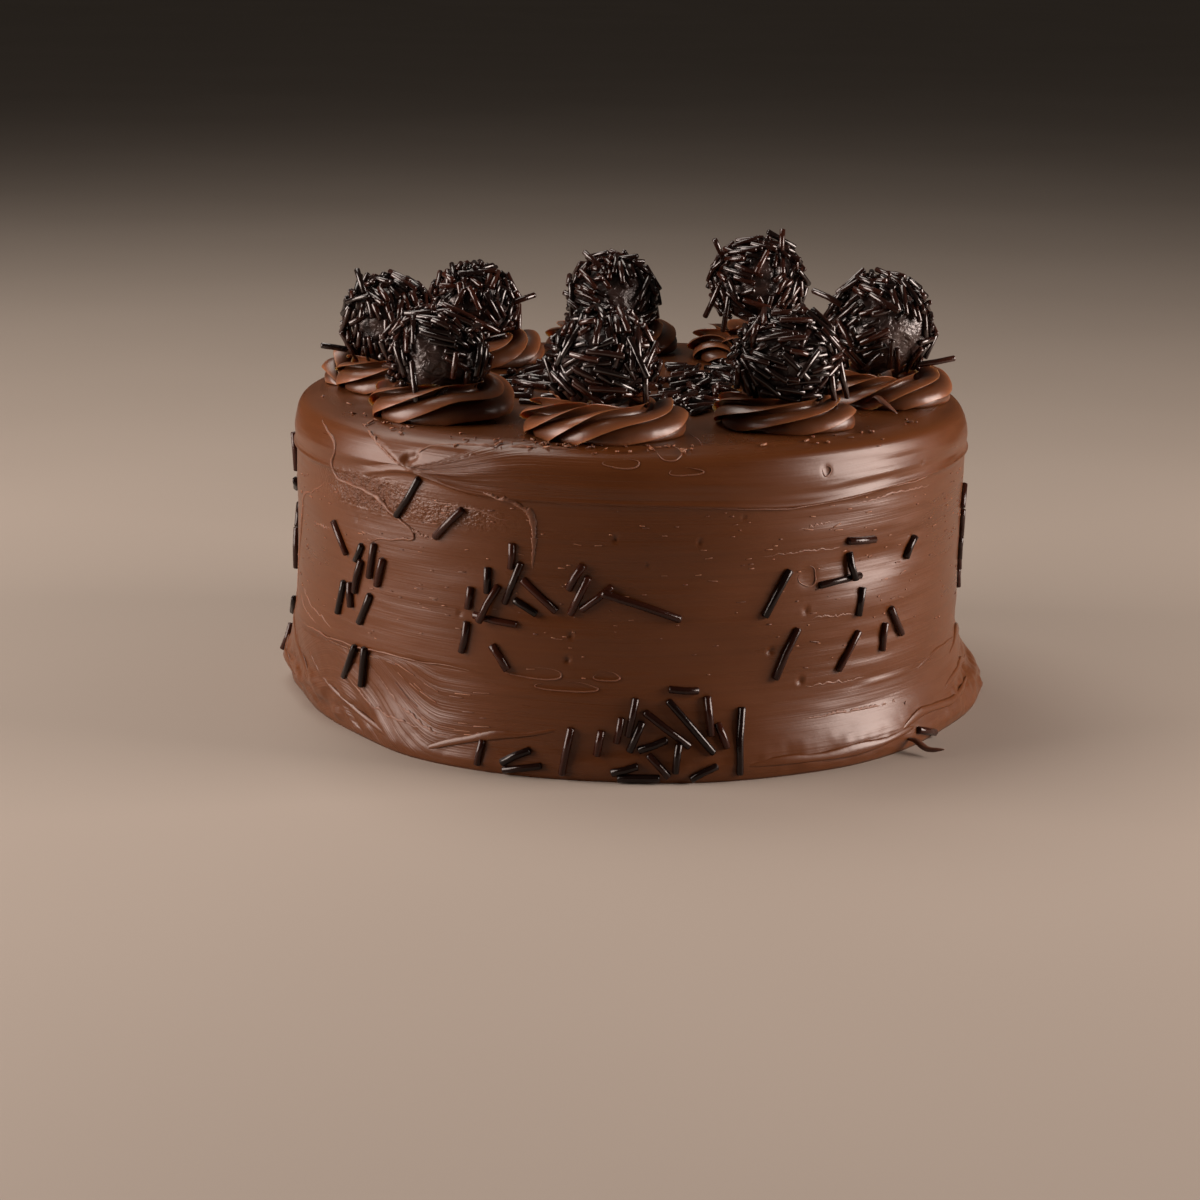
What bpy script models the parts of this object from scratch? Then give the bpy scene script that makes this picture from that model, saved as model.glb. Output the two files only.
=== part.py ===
"""A chocolate layer cake, frosted all over, with a ring of eight piped rosettes on top.
Each rosette carries a fudge ball rolled in chocolate sprinkles, and more sprinkles are
pressed into the side and strewn over the top.

Metres, +Z up. The origin is the middle of the flat underside. Azimuths are degrees
counted from the front (-Y) towards +X, so 90 is the right side and 180 the back.
"""
import math
import random

import bpy
import numpy as np
from mathutils import Matrix, Vector

MM = 0.001
TAU = 2.0 * math.pi

# Driving dimensions of the frosted cake
CAKE_RADIUS = 110.0 * MM
CAKE_HEIGHT = 100.0 * MM
SHOULDER = 9.0 * MM
COLUMNS = 64
GAP = 0.3 * MM

# Outline of the frosting's foot: azimuth in degrees, radius in mm
FOOT = ((-98, 114), (-72, 108), (-54, 107), (-33, 112), (-10, 112), (17, 114), (46, 115), (62, 113),
        (80, 117), (97, 121), (125, 115), (160, 112), (200, 114), (235, 111))
FOOT_BLEND = 13.0

# The palette knife's last strokes: a raised lip under the top band, a ledge above the foot.
# The lip climbs to a tip, dips lowest at another azimuth and fades where the knife was lifted
LIP_HEIGHT = 84.0 * MM
LIP_TIP = -37.0
LIP_DIP = 27.0
KNIFE_LIFT = -50.0
LIP_PROUD = 1.1 * MM
BAND_HOLLOW = 0.5 * MM
LEDGE_HEIGHT = 29.0 * MM
LEDGE_PROUD = 1.2 * MM
BULGE_AZIMUTH = -86.0
BULGE_PROUD = 3.2 * MM

# Piped rosettes: a star-shaped rope laid round in one turn
ROPE_WIDTH = 8.6 * MM
ROPE_RISE = 7.6 * MM
RIDGES = 7
RIDGE_CLIMB = 5
RIDGE_DEPTH = 0.27
GROOVE_SHIFT = 0.14
ROPE_BED = 0.62
TAIL_STEP = 3.2 * MM
ROSETTE_SEGMENTS = 16
BED_SIDES = 6
HOLLOW_CLEARANCE = 0.8 * MM

# Each place on the ring: name, azimuth, ring radius, rosette radius, height of the ball's
# centre, radius of the ball's core (mm and degrees), and the turn at which the rope's tail ends
PLACES = (
    ("1", -91, 79.0, 24.8, 120.0, 13.9, 200),
    ("2", 225, 78.0, 25.0, 117.5, 14.2, 60),
    ("3", -50, 78.4, 24.6, 117.5, 14.2, 170),
    ("4", 185, 80.8, 24.6, 117.6, 14.6, 300),
    ("5", -6, 77.8, 26.1, 121.3, 14.2, 40),
    ("6", 148, 83.0, 24.6, 125.5, 14.8, 250),
    ("7", 39, 75.5, 23.6, 119.2, 15.0, 20),
    ("8", 81, 81.0, 24.3, 123.5, 15.6, 120),
)

# Chocolate sprinkles
SPRINKLE = 2.1 * MM
WALL_SPRINKLE_SIDES = 5
BALL_SPRINKLE_SIDES = 4
BALL_SPRINKLES = 11
BALL_COLUMNS = 10
BALL_ROWS = 7
BALL_DENT = 0.07
BALL_SINK = 0.4 * MM

# Sprinkles on the front of the wall, in the bunches in which they were pressed on:
# azimuth, height in mm, lean in degrees (0 hangs straight down, + leans to +X), length in mm
FRONT_BUNCHES = (
    ((-37, 81, -35, 16), (-29, 75, -45, 14)),
    ((-54, 63, 40, 12), (-48, 60, -30, 7), (-45, 59, -15, 12), (-49, 53, -15, 12),
     (-43, 56, -20, 10), (-54, 44, -20, 12), (-51, 46, 5, 8), (-47, 43, -30, 12)),
    ((-52, 24, -35, 15), (-48, 24, -15, 14)),
    ((-18, 67, 5, 8), (-18, 59, -20, 14), (-22, 59, 5, 8), (-25, 53, 0, 7), (-22, 52, -25, 13),
     (-14, 56, 50, 14), (-16, 52, 60, 8), (-21, 48, 80, 14), (-26, 41, -10, 10),
     (-20, 36, 35, 9)),
    ((-8, 62, -30, 9), (-7, 56, -20, 13), (-5, 56, -60, 12), (2, 54, 70, 25)),
    ((24, 56, -30, 16), (40, 69, 85, 12), (38, 61, 10, 9), (36, 58, 95, 17), (40, 50, -10, 9),
     (53, 63, -40, 8), (49, 41, 35, 12), (46, 37, -5, 9), (38, 35, -35, 14), (26, 37, -25, 17)),
    ((-23, 6, -10, 8), (-17, 6, -60, 10), (-16, 3, -80, 12), (-9, 9, -10, 15), (9, 28, 85, 9),
     (1, 20, -10, 12), (-1, 16, -10, 8), (2, 14, -15, 10), (-4, 12, -10, 8), (13, 20, 5, 12),
     (10, 17, 40, 21), (6, 16, 50, 17), (15, 14, 20, 8), (18, 12, -5, 20), (4, 12, -70, 9),
     (8, 8, -10, 9), (5, 6, 40, 9), (0, 4, -70, 8), (2, 2, 88, 12), (12, 3, -60, 9)),
    ((56, 3, 70, 12),),
    ((-88, 78, 0, 13), (-86, 68, -60, 8), (-90, 56, 40, 9), (-87, 46, 5, 14), (-86, 27, -50, 10),
     (-90, 14, 0, 9)),
    ((82, 69, -45, 9), (84, 59, 15, 10), (83, 51, 15, 8), (86, 47, -5, 9), (88, 40, 0, 9)),
)

# Bunches on the rest of the wall: azimuth and height of the middle, count of sprinkles
FAR_BUNCHES = ((108, 62, 3), (124, 38, 4), (150, 14, 4), (166, 54, 4), (196, 40, 3), (214, 12, 3),
               (226, 60, 3), (248, 36, 3))

# Sprinkles strewn on the flat top: x and y of a drift's middle, its spread, all mm, and a count
TOP_DRIFTS = ((18, -38, 9, 6), (22, 6, 12, 5), (-24, -20, 10, 4), (-6, 30, 14, 4))


def outward_at(azimuth):
    """Unit vector that points outwards at an azimuth in degrees."""
    angle = math.radians(azimuth)
    return np.array([math.sin(angle), -math.cos(angle), 0.0])


def hump(azimuth, place, width):
    """1 at one azimuth, falling smoothly to 0 a few widths (degrees) to either side."""
    distance = (azimuth - place + 180.0) % 360.0 - 180.0
    return np.exp(-(distance / width) ** 2)


def foot_radius(azimuth):
    """Radius of the frosting where it meets the surface below, by a smooth closed curve."""
    places = np.array(FOOT, float)
    weight = hump(azimuth, places[:, 0], FOOT_BLEND) + 1e-6
    return float((weight * places[:, 1]).sum() / weight.sum()) * MM


def side_bulge(azimuth):
    """Frosting pushed out above the foot on the left side."""
    return BULGE_PROUD * hump(azimuth, BULGE_AZIMUTH, 24.0)


def lip_height(azimuth):
    """Height of the knife's lip, with its tip at the front left."""
    climb = 4.5 * hump(azimuth, LIP_TIP, 9.0) - 2.0 * hump(azimuth, LIP_DIP, 14.0)
    return LIP_HEIGHT + climb * MM


def lip_strength(azimuth):
    """The lip fades out where the knife was lifted, left of its tip."""
    return 1.0 - 0.85 * hump(azimuth, KNIFE_LIFT, 9.0)


def ledge_height(azimuth):
    """Height at which the frosting starts to swell out towards the foot."""
    angle = math.radians(azimuth)
    return LEDGE_HEIGHT + (2.5 * math.cos(angle + 0.9) - 3.0 * math.cos(2.0 * angle - 1.0)) * MM


def wall_unevenness(azimuth, height):
    """Slow waves that a hand-held knife leaves in the wall."""
    angle = math.radians(azimuth)
    slow = 0.5 * math.cos(2.0 * angle + 1.1) + 0.35 * math.cos(5.0 * angle + 55.0 * height)
    return (slow - 0.6 * math.sin(math.pi * height / CAKE_HEIGHT)) * MM


def wall_stations(azimuth):
    """Height and radius of each row of the wall, from the underside to the top edge."""
    foot = foot_radius(azimuth)
    ledge = ledge_height(azimuth)
    lip = lip_height(azimuth)
    strength = lip_strength(azimuth)
    bulge = side_bulge(azimuth)
    wall = CAKE_RADIUS - SHOULDER
    rows = [
        (0.0, foot - 0.6 * MM),
        (3.0 * MM, foot),
        (9.0 * MM, 0.7 * foot + 0.3 * CAKE_RADIUS + bulge),
        (17.0 * MM, 0.25 * foot + 0.75 * CAKE_RADIUS + 0.6 * bulge),
        (ledge - 2.5 * MM, CAKE_RADIUS + LEDGE_PROUD),
        (ledge + 1.5 * MM, CAKE_RADIUS),
        (45.0 * MM, CAKE_RADIUS),
        (59.0 * MM, CAKE_RADIUS),
        (71.0 * MM, CAKE_RADIUS),
        (lip - 1.8 * MM, CAKE_RADIUS - 0.1 * MM),
        (lip, CAKE_RADIUS + strength * LIP_PROUD),
        (lip + 2.5 * MM, CAKE_RADIUS - strength * BAND_HOLLOW),
        (CAKE_HEIGHT - SHOULDER, CAKE_RADIUS),
        (CAKE_HEIGHT - 0.3 * SHOULDER, wall + 0.71 * SHOULDER),
        (CAKE_HEIGHT, wall),
    ]
    return [(z, r + (wall_unevenness(azimuth, z) if 0.01 < z < 0.093 else 0.0)) for z, r in rows]


def wall_radius(azimuth, height):
    """Radius of the wall at any height, read between its rows."""
    rows = wall_stations(azimuth)
    return float(np.interp(height, [z for z, _ in rows], [r for _, r in rows]))


def mesh_object(name, vertices, faces):
    """A named object from vertices and faces, in the scene's collection."""
    mesh = bpy.data.meshes.new(name)
    mesh.from_pydata([tuple(map(float, v)) for v in vertices], [], faces)
    mesh.update()
    piece = bpy.data.objects.new(name, mesh)
    bpy.context.scene.collection.objects.link(piece)
    return piece


def ring_faces(rows, columns):
    """Quads between rings of vertices that run counter-clockwise, lowest ring first."""
    faces = []
    for row in range(rows - 1):
        for col in range(columns):
            here, there = row * columns + col, row * columns + (col + 1) % columns
            faces.append((here, there, there + columns, here + columns))
    return faces


def frosted_body():
    """The cake under its frosting: rings up the wall, closed by a flat underside and top."""
    columns = [wall_stations(360.0 * k / COLUMNS) for k in range(COLUMNS)]
    rows = len(columns[0])
    vertices = []
    for row in range(rows):
        for k, column in enumerate(columns):
            height, radius = column[row]
            vertices.append(radius * outward_at(360.0 * k / COLUMNS) + [0.0, 0.0, height])
    faces = ring_faces(rows, COLUMNS)
    faces.append(tuple(reversed(range(COLUMNS))))
    faces.append(tuple(range((rows - 1) * COLUMNS, rows * COLUMNS)))
    return mesh_object("cake", vertices, faces)


def sprinkle_mesh(sides, middle, direction, length):
    """One sprinkle: a straight rod with few sides and blunt ends."""
    axis = Vector(direction).normalized()
    turn = axis.to_track_quat("Z", "Y").to_matrix()
    half, radius = 0.5 * length, 0.5 * SPRINKLE
    vertices = []
    for end in (-half, half):
        for k in range(sides):
            angle = TAU * k / sides
            local = Vector((radius * math.cos(angle), radius * math.sin(angle), end))
            vertices.append(Vector(middle) + turn @ local)
    faces = ring_faces(2, sides)
    faces.append(tuple(reversed(range(sides))))
    faces.append(tuple(range(sides, 2 * sides)))
    return mesh_object("sprinkle", vertices, faces)


def wall_sprinkle(azimuth, height, lean, length):
    """A sprinkle pressed into the wall, with most of its thickness standing proud."""
    sink = 0.35 * MM
    half = 0.5 * length * MM
    lean = math.radians(lean)
    ends = []
    for sign in (-1.0, 1.0):
        z = height * MM - sign * half * math.cos(lean)
        z = max(z, 0.5 * SPRINKLE + 0.4 * MM)
        turn = azimuth + math.degrees(sign * half * math.sin(lean) / CAKE_RADIUS)
        ends.append((wall_radius(turn, z) + sink) * outward_at(turn) + [0.0, 0.0, z])
    start, end = ends
    span = end - start
    length = float(np.linalg.norm(span))
    return sprinkle_mesh(WALL_SPRINKLE_SIDES, 0.5 * (start + end), span, length)


def wall_sprinkles(draw):
    """Every sprinkle on the wall: the front bunches as placed, the others by a seeded rule."""
    rods = [wall_sprinkle(*place) for bunch in FRONT_BUNCHES for place in bunch]
    for azimuth, height, count in FAR_BUNCHES:
        for _ in range(count):
            rods.append(wall_sprinkle(
                azimuth + draw.gauss(0.0, 4.0), max(3.0, height + draw.gauss(0.0, 7.0)),
                draw.gauss(0.0, 40.0), draw.uniform(8.0, 15.0)))
    return rods


def top_sprinkles(draw):
    """Sprinkles that fell on the flat top, inside the ring of rosettes."""
    reach = 44.0 * MM
    rods = []
    for x, y, spread, count in TOP_DRIFTS:
        for _ in range(count):
            spot = Vector((x + draw.gauss(0.0, spread), y + draw.gauss(0.0, spread), 0.0)) * MM
            spot *= min(1.0, reach / max(spot.length, 1e-9))
            spot.z = CAKE_HEIGHT + 0.45 * MM
            angle = draw.uniform(0.0, math.pi)
            direction = (math.cos(angle), math.sin(angle), 0.0)
            length = draw.uniform(8.0, 13.0) * MM
            rods.append(sprinkle_mesh(WALL_SPRINKLE_SIDES, spot, direction, length))
    return rods


def fuse(body, rods):
    """Join the rods to the body by one Boolean union, then remove them."""
    group = bpy.data.collections.new(body.name + "_rods")
    bpy.context.scene.collection.children.link(group)
    for rod in rods:
        bpy.context.scene.collection.objects.unlink(rod)
        group.objects.link(rod)
    union = body.modifiers.new("union", "BOOLEAN")
    union.operation = "UNION"
    union.operand_type = "COLLECTION"
    union.collection = group
    union.solver = "EXACT"
    depsgraph = bpy.context.evaluated_depsgraph_get()
    depsgraph.update()
    fused = bpy.data.meshes.new_from_object(body.evaluated_get(depsgraph))
    body.modifiers.clear()
    body.data = fused
    for rod in rods:
        bpy.data.objects.remove(rod)
    bpy.data.collections.remove(group)


def ring_place(azimuth, ring):
    """Middle of a place on the ring, on the flat top."""
    return ring * MM * outward_at(azimuth) + [0.0, 0.0, CAKE_HEIGHT]


def ridge_factor(phase):
    """Radius factor round the star-shaped rope: 1 on a ridge's lip, less in a groove.

    A ridge slopes gently on its upper side and is cut back steeply below its lip."""
    return 1.0 - RIDGE_DEPTH * math.sin(math.pi * (phase % 1.0) ** 1.7)


def rosette_ring(name, middle, radius, tail, ball_centre, hollow):
    """The rope laid round once, as a closed ring whose ridges wind up and inwards.

    Each line of vertices follows a lip or a groove, and over one turn it moves on by
    RIDGE_CLIMB ridges, so the last column joins the first that many lines further on. The
    rope's outer edge draws in by one step over the turn, so its tail stands out, and the
    ring is hollowed where the ball sits."""
    turn = TAU * np.arange(ROSETTE_SEGMENTS) / ROSETTE_SEGMENTS
    drawn_in = np.mod(turn - math.radians(tail), TAU) / TAU
    centre_line = radius * MM - ROPE_WIDTH - TAIL_STEP * drawn_in
    rows = []
    for k in range(2 * RIDGES):
        phase = 0.5 * k + (GROOVE_SHIFT if k % 2 else 0.0)
        around = (TAU * phase + RIDGE_CLIMB * turn) / RIDGES
        factor = ridge_factor(phase)
        out = centre_line + ROPE_WIDTH * factor * np.cos(around)
        up = np.maximum(ROPE_RISE * (ROPE_BED + factor * np.sin(around)), 0.0)
        rows.append(np.stack([out * np.cos(turn), out * np.sin(turn), GAP + up], axis=1))
    vertices = np.concatenate(rows) + middle
    offset = vertices - ball_centre
    distance = np.linalg.norm(offset, axis=1, keepdims=True)
    vertices = ball_centre + offset * np.maximum(1.0, hollow / distance)
    return mesh_object("rosette_" + name, vertices, rope_faces())


def rope_faces():
    """Quads of the closed rope, with its last column joined on RIDGE_CLIMB ridges further."""
    lines = 2 * RIDGES
    faces = []
    for line in range(lines):
        for col in range(ROSETTE_SEGMENTS):
            moved = 2 * RIDGE_CLIMB if col == ROSETTE_SEGMENTS - 1 else 0
            beside = (col + 1) % ROSETTE_SEGMENTS
            corners = ((line, col), (line + moved, beside), (line + moved + 1, beside), (line + 1, col))
            faces.append(tuple((row % lines) * ROSETTE_SEGMENTS + c for row, c in corners))
    return faces


def rosette(name, azimuth, ring, radius, ball_height, ball_radius, tail):
    """One piped rosette: the ring of rope and the bed of frosting inside it."""
    middle = ring_place(azimuth, ring)
    ball_centre = middle + [0.0, 0.0, ball_height * MM - CAKE_HEIGHT]
    hollow = ball_radius * MM + HOLLOW_CLEARANCE
    rope = rosette_ring(name, middle, radius, tail, ball_centre, hollow)
    bed_radius = radius * MM - ROPE_WIDTH - 0.5 * TAIL_STEP
    bed_height = (ball_height - ball_radius) * MM - CAKE_HEIGHT - 2.0 * GAP
    rim = TAU * np.arange(BED_SIDES) / BED_SIDES
    flat = np.stack([bed_radius * np.cos(rim), bed_radius * np.sin(rim), 0.0 * rim], axis=1) + middle
    levels = [flat + [0.0, 0.0, 2.0 * GAP], flat + [0.0, 0.0, GAP + bed_height]]
    faces = ring_faces(2, BED_SIDES)
    faces.append(tuple(reversed(range(BED_SIDES))))
    faces.append(tuple(range(BED_SIDES, 2 * BED_SIDES)))
    bed = mesh_object("bed", np.concatenate(levels), faces)
    fuse(rope, [bed])
    return rope


def ball_reach(radius, turn, polar, wobble):
    """Distance of the ball's surface from its centre: round, with shallow dents round its girth."""
    dent = 0.5 + 0.5 * math.sin(3.0 * turn + 2.0 * polar + wobble)
    return radius * (1.0 - BALL_DENT * dent * math.sin(polar))


def truffle_core(name, centre, radius, wobble):
    """A hand-rolled ball of fudge: a globe of rings with shallow dents."""
    vertices = [centre - [0.0, 0.0, radius]]
    for row in range(1, BALL_ROWS):
        polar = math.pi * row / BALL_ROWS
        for col in range(BALL_COLUMNS):
            turn = TAU * (col + 0.5 * (row % 2)) / BALL_COLUMNS
            reach = ball_reach(radius, turn, polar, wobble)
            flat = reach * math.sin(polar)
            offset = [flat * math.cos(turn), flat * math.sin(turn), -reach * math.cos(polar)]
            vertices.append(centre + offset)
    vertices.append(centre + [0.0, 0.0, radius])
    faces = [tuple(v + 1 for v in face) for face in ring_faces(BALL_ROWS - 1, BALL_COLUMNS)]
    top, last = len(vertices) - 1, len(vertices) - 1 - BALL_COLUMNS
    for col in range(BALL_COLUMNS):
        beside = (col + 1) % BALL_COLUMNS
        faces.append((0, 1 + beside, 1 + col))
        faces.append((top, last + col, last + beside))
    return mesh_object("truffle_" + name, vertices, faces)


def truffle_rod(centre, reach, outward, draw):
    """A sprinkle stuck to the ball, lying nearly flat on it, in any direction."""
    outward = Vector(outward)
    side = outward.cross(Vector((0.3, 0.5, 0.8))).normalized()
    side.rotate(Matrix.Rotation(draw.uniform(0.0, math.pi), 3, outward))
    tilt = math.radians(draw.gauss(0.0, 11.0))
    direction = side * math.cos(tilt) + outward * math.sin(tilt)
    length = draw.uniform(8.0, 12.0) * MM
    middle = Vector(centre) + outward * (reach - BALL_SINK)
    lowest = middle.z - abs(direction.z) * 0.5 * length
    return middle, direction, length, lowest


def truffle(name, azimuth, ring, ball_height, ball_radius, draw):
    """A ball with its largest sprinkles, spread evenly above the rosette's crest."""
    centre = ring_place(azimuth, ring)
    centre[2] = ball_height * MM
    wobble = draw.uniform(0.0, TAU)
    core = truffle_core(name, centre, ball_radius * MM, wobble)
    crest = CAKE_HEIGHT + GAP + ROPE_RISE * (1.0 + ROPE_BED) + 0.75 * SPRINKLE
    rods = []
    golden = math.pi * (3.0 - math.sqrt(5.0))
    for k in range(BALL_SPRINKLES):
        rise = 0.97 - 1.1 * k / (BALL_SPRINKLES - 1)
        flat = math.sqrt(1.0 - rise * rise)
        outward = (flat * math.cos(golden * k), flat * math.sin(golden * k), rise)
        reach = ball_reach(ball_radius * MM, golden * k, math.acos(-rise), wobble)
        for _ in range(40):
            middle, direction, length, lowest = truffle_rod(centre, reach, outward, draw)
            if lowest > crest:
                rods.append(sprinkle_mesh(BALL_SPRINKLE_SIDES, middle, direction, length))
                break
    fuse(core, rods)
    return core


def principled(name, colour, roughness):
    """A plain food material: linear base colour and roughness."""
    material = bpy.data.materials.new(name)
    material.use_nodes = True
    shader = material.node_tree.nodes["Principled BSDF"]
    shader.inputs["Base Color"].default_value = (*colour, 1.0)
    shader.inputs["Roughness"].default_value = roughness
    shader.inputs["Metallic"].default_value = 0.0
    material.diffuse_color = (*colour, 1.0)
    return material


def dress(piece, material):
    """Give a piece its one material and smooth shading with crisp lips."""
    piece.data.materials.clear()
    piece.data.materials.append(material)
    piece.data.shade_smooth()
    piece.data.set_sharp_from_angle(angle=math.radians(38.0))


def main():
    for old in list(bpy.data.objects):
        bpy.data.objects.remove(old)
    draw = random.Random(11)
    frosting = principled("milk_chocolate_frosting", (0.150, 0.062, 0.030), 0.42)
    piped = principled("piped_frosting", (0.110, 0.043, 0.022), 0.35)
    fudge = principled("chocolate_fudge", (0.016, 0.009, 0.007), 0.3)
    body = frosted_body()
    fuse(body, wall_sprinkles(draw) + top_sprinkles(draw))
    dress(body, frosting)
    for name, azimuth, ring, radius, ball_height, ball_radius, tail in PLACES:
        dress(rosette(name, azimuth, ring, radius, ball_height, ball_radius, tail), piped)
        dress(truffle(name, azimuth, ring, ball_height, ball_radius, draw), fudge)


main()
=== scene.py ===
# %% [markdown]
# # A chocolate layer cake, dressed around its solids
# The solids give every piece its place and size. This lesson gives them their looks: frosting spread
# with a palette knife, piped rosettes, fudge balls and chocolate sprinkles. Everything is in metres, the
# front of the cake faces -Y, and the origin is the middle of its flat underside. An azimuth is an angle
# in degrees counted from the front towards +X, so 90 is the right side and 180 the back.

# %% Load the fixed solids
import math
import random

import bpy
import numpy as np
from mathutils import Matrix


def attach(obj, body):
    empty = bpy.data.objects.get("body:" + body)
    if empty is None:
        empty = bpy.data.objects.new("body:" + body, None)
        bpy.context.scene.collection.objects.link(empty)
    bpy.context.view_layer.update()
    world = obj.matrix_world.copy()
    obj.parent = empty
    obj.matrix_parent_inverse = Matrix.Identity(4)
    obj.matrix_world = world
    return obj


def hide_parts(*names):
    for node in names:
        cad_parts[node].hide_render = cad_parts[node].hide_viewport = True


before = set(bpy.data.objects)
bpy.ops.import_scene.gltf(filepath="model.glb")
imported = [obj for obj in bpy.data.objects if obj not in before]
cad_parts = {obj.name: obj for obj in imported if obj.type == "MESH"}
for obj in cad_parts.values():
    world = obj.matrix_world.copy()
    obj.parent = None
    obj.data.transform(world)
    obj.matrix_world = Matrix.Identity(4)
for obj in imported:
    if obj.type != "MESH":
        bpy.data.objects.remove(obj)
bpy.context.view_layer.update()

MM = 0.001
TAU = 2.0 * np.pi


# %% [markdown]
# ## Small tools for surfaces
# Every piece is a surface worked out with numpy: a grid of points, rows by columns, whose last column
# joins the first. Such a grid is a tube, and a point at each end closes it. One function turns any grid
# into a mesh, so the rest of the lesson only has to say where the points are.

# %% A closed skin from a grid of points
def skin_faces(rows, columns):
    """Quads between neighbours of a grid whose columns close, then a fan of triangles at each end."""
    row, col = np.meshgrid(np.arange(rows - 1), np.arange(columns), indexing="ij")
    here, beside = row * columns + col, row * columns + (col + 1) % columns
    quads = np.stack([here, beside, beside + columns, here + columns], axis=-1).reshape(-1, 4)
    rim, after = np.arange(columns), (np.arange(columns) + 1) % columns
    start, end = rows * columns, rows * columns + 1
    last = (rows - 1) * columns
    first_fan = np.stack([np.full(columns, start), after, rim], axis=-1)
    last_fan = np.stack([np.full(columns, end), last + rim, last + after], axis=-1)
    return quads, np.concatenate([first_fan, last_fan])


def build_mesh(name, points, quads, triangles, attributes=None):
    """One object at the origin, smooth all over, with a number at every point for each attribute."""
    mesh = bpy.data.meshes.new(name)
    mesh.from_pydata(points.tolist(), [], quads.tolist() + triangles.tolist())
    mesh.polygons.foreach_set("use_smooth", np.ones(len(mesh.polygons), bool))
    for key, values in (attributes or {}).items():
        layer = mesh.attributes.new(key, "FLOAT", "POINT")
        layer.data.foreach_set("value", np.asarray(values, np.float32).ravel())
    mesh.update()
    piece = bpy.data.objects.new(name, mesh)
    bpy.context.scene.collection.objects.link(piece)
    return piece


def with_end_points(grid):
    """The grid's points in one list, with the mean point of the first and of the last row at its end."""
    return np.concatenate([grid.reshape(-1, 3), grid[:1].mean(1), grid[-1:].mean(1)])


def closed_skin(name, grid, attributes=None):
    """The skin over a rows x columns x 3 grid, closed by the mean point of each end row."""
    ends = {}
    for key, values in (attributes or {}).items():
        ends[key] = np.concatenate([values.ravel(), [values[0].mean(), values[-1].mean()]])
    return build_mesh(name, with_end_points(grid), *skin_faces(*grid.shape[:2]), ends)


# %% Directions, humps and noise
def outward(azimuth):
    """Unit vectors that point away from the axis at each azimuth in degrees."""
    angle = np.radians(azimuth)
    return np.stack([np.sin(angle), -np.cos(angle), np.zeros_like(angle)], axis=-1)


def towards(azimuth, elevation):
    """Unit vector that points to an azimuth and an elevation, both in degrees."""
    rise = np.radians(elevation)
    return outward(float(azimuth)) * np.cos(rise) + np.array([0.0, 0.0, np.sin(rise)])


def hump(azimuth, place, width):
    """1 at one azimuth, falling smoothly to 0 a few widths away: a bell curve on the circle."""
    distance = (azimuth - place + 180.0) % 360.0 - 180.0
    return np.exp(-(distance / width) ** 2)


def fade(t):
    """Smooth step: 0 below 0, 1 above 1, with level ends."""
    t = np.clip(t, 0.0, 1.0)
    return t * t * (3.0 - 2.0 * t)


def lattice_noise(coordinates, seed, size=32):
    """Random values on a square lattice of one, two or three axes, blended smoothly between its points.

    coordinates is a list of arrays in lattice steps. The lattice repeats after size steps."""
    table = np.random.default_rng(seed).random([size] * len(coordinates)) * 2.0 - 1.0
    total = 0.0
    for corner in np.ndindex(*[2] * len(coordinates)):
        weight, index = 1.0, []
        for offset, axis in zip(corner, coordinates):
            low = np.floor(axis)
            part = fade(axis - low)
            weight = weight * (part if offset else 1.0 - part)
            index.append((low.astype(int) + offset) % size)
        total = total + weight * table[tuple(index)]
    return total


# %% [markdown]
# ## The frosted body
# A cake is frosted on a turntable with a palette knife. The knife rides round the wall and leaves a
# nearly upright side, a soft shoulder, long level streaks, a raised lip where one stroke ends over
# another, and a foot that squeezes out unevenly on what it stands on. So the body is a surface of two
# parameters, azimuth and way up the profile: a few named rows give the height and radius at every
# azimuth, a smooth curve runs through them, and fine relief is added on top.

# %% Sizes of the frosted body
CAKE_RADIUS = 110.0 * MM
CAKE_HEIGHT = 100.0 * MM
SHOULDER = 9.0 * MM
# Azimuths and radii in mm of the foot, and the width in degrees over which they blend
FOOT = ((-98, 114), (-72, 108), (-54, 107), (-33, 112), (-10, 112), (17, 114), (46, 115), (62, 113),
        (80, 117), (97, 121), (125, 115), (160, 112), (200, 114), (235, 111))
FOOT_BLEND = 13.0
# The lip of the top band's stroke: its height, and the azimuths of its tip, its dip and its gap
LIP_HEIGHT = 84.0 * MM
LIP_TIP = -37.0
LIP_DIP = 27.0
KNIFE_LIFT = -50.0
LIP_PROUD = 0.9 * MM
LEDGE_HEIGHT = 29.0 * MM
LEDGE_PROUD = 0.9 * MM
BULGE_AZIMUTH = -86.0
BULGE_PROUD = 3.2 * MM
print("cake:", round(2.0 * CAKE_RADIUS / MM), "mm across,", round(CAKE_HEIGHT / MM), "mm high")


def foot_radius(azimuth):
    """Radius at the foot: the named radii, each weighted by a hump at its azimuth."""
    weights = np.stack([hump(azimuth, place, FOOT_BLEND) + 1e-6 for place, _ in FOOT])
    radii = np.array([radius for _, radius in FOOT]) * MM
    return np.tensordot(radii, weights, axes=1) / weights.sum(0)


def lip_height(azimuth):
    """Height of the knife's lip: level, with a climb to its tip and one shallow dip."""
    return LIP_HEIGHT + (4.5 * hump(azimuth, LIP_TIP, 9.0) - 2.0 * hump(azimuth, LIP_DIP, 14.0)) * MM


def lip_strength(azimuth):
    """The lip fades out where the knife was lifted."""
    return 1.0 - 0.85 * hump(azimuth, KNIFE_LIFT, 9.0)


def ledge_height(azimuth):
    """Height at which the frosting starts to swell out towards the foot: two slow waves."""
    angle = np.radians(azimuth)
    return LEDGE_HEIGHT + (2.5 * np.cos(angle + 0.9) - 3.0 * np.cos(2.0 * angle - 1.0)) * MM


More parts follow.
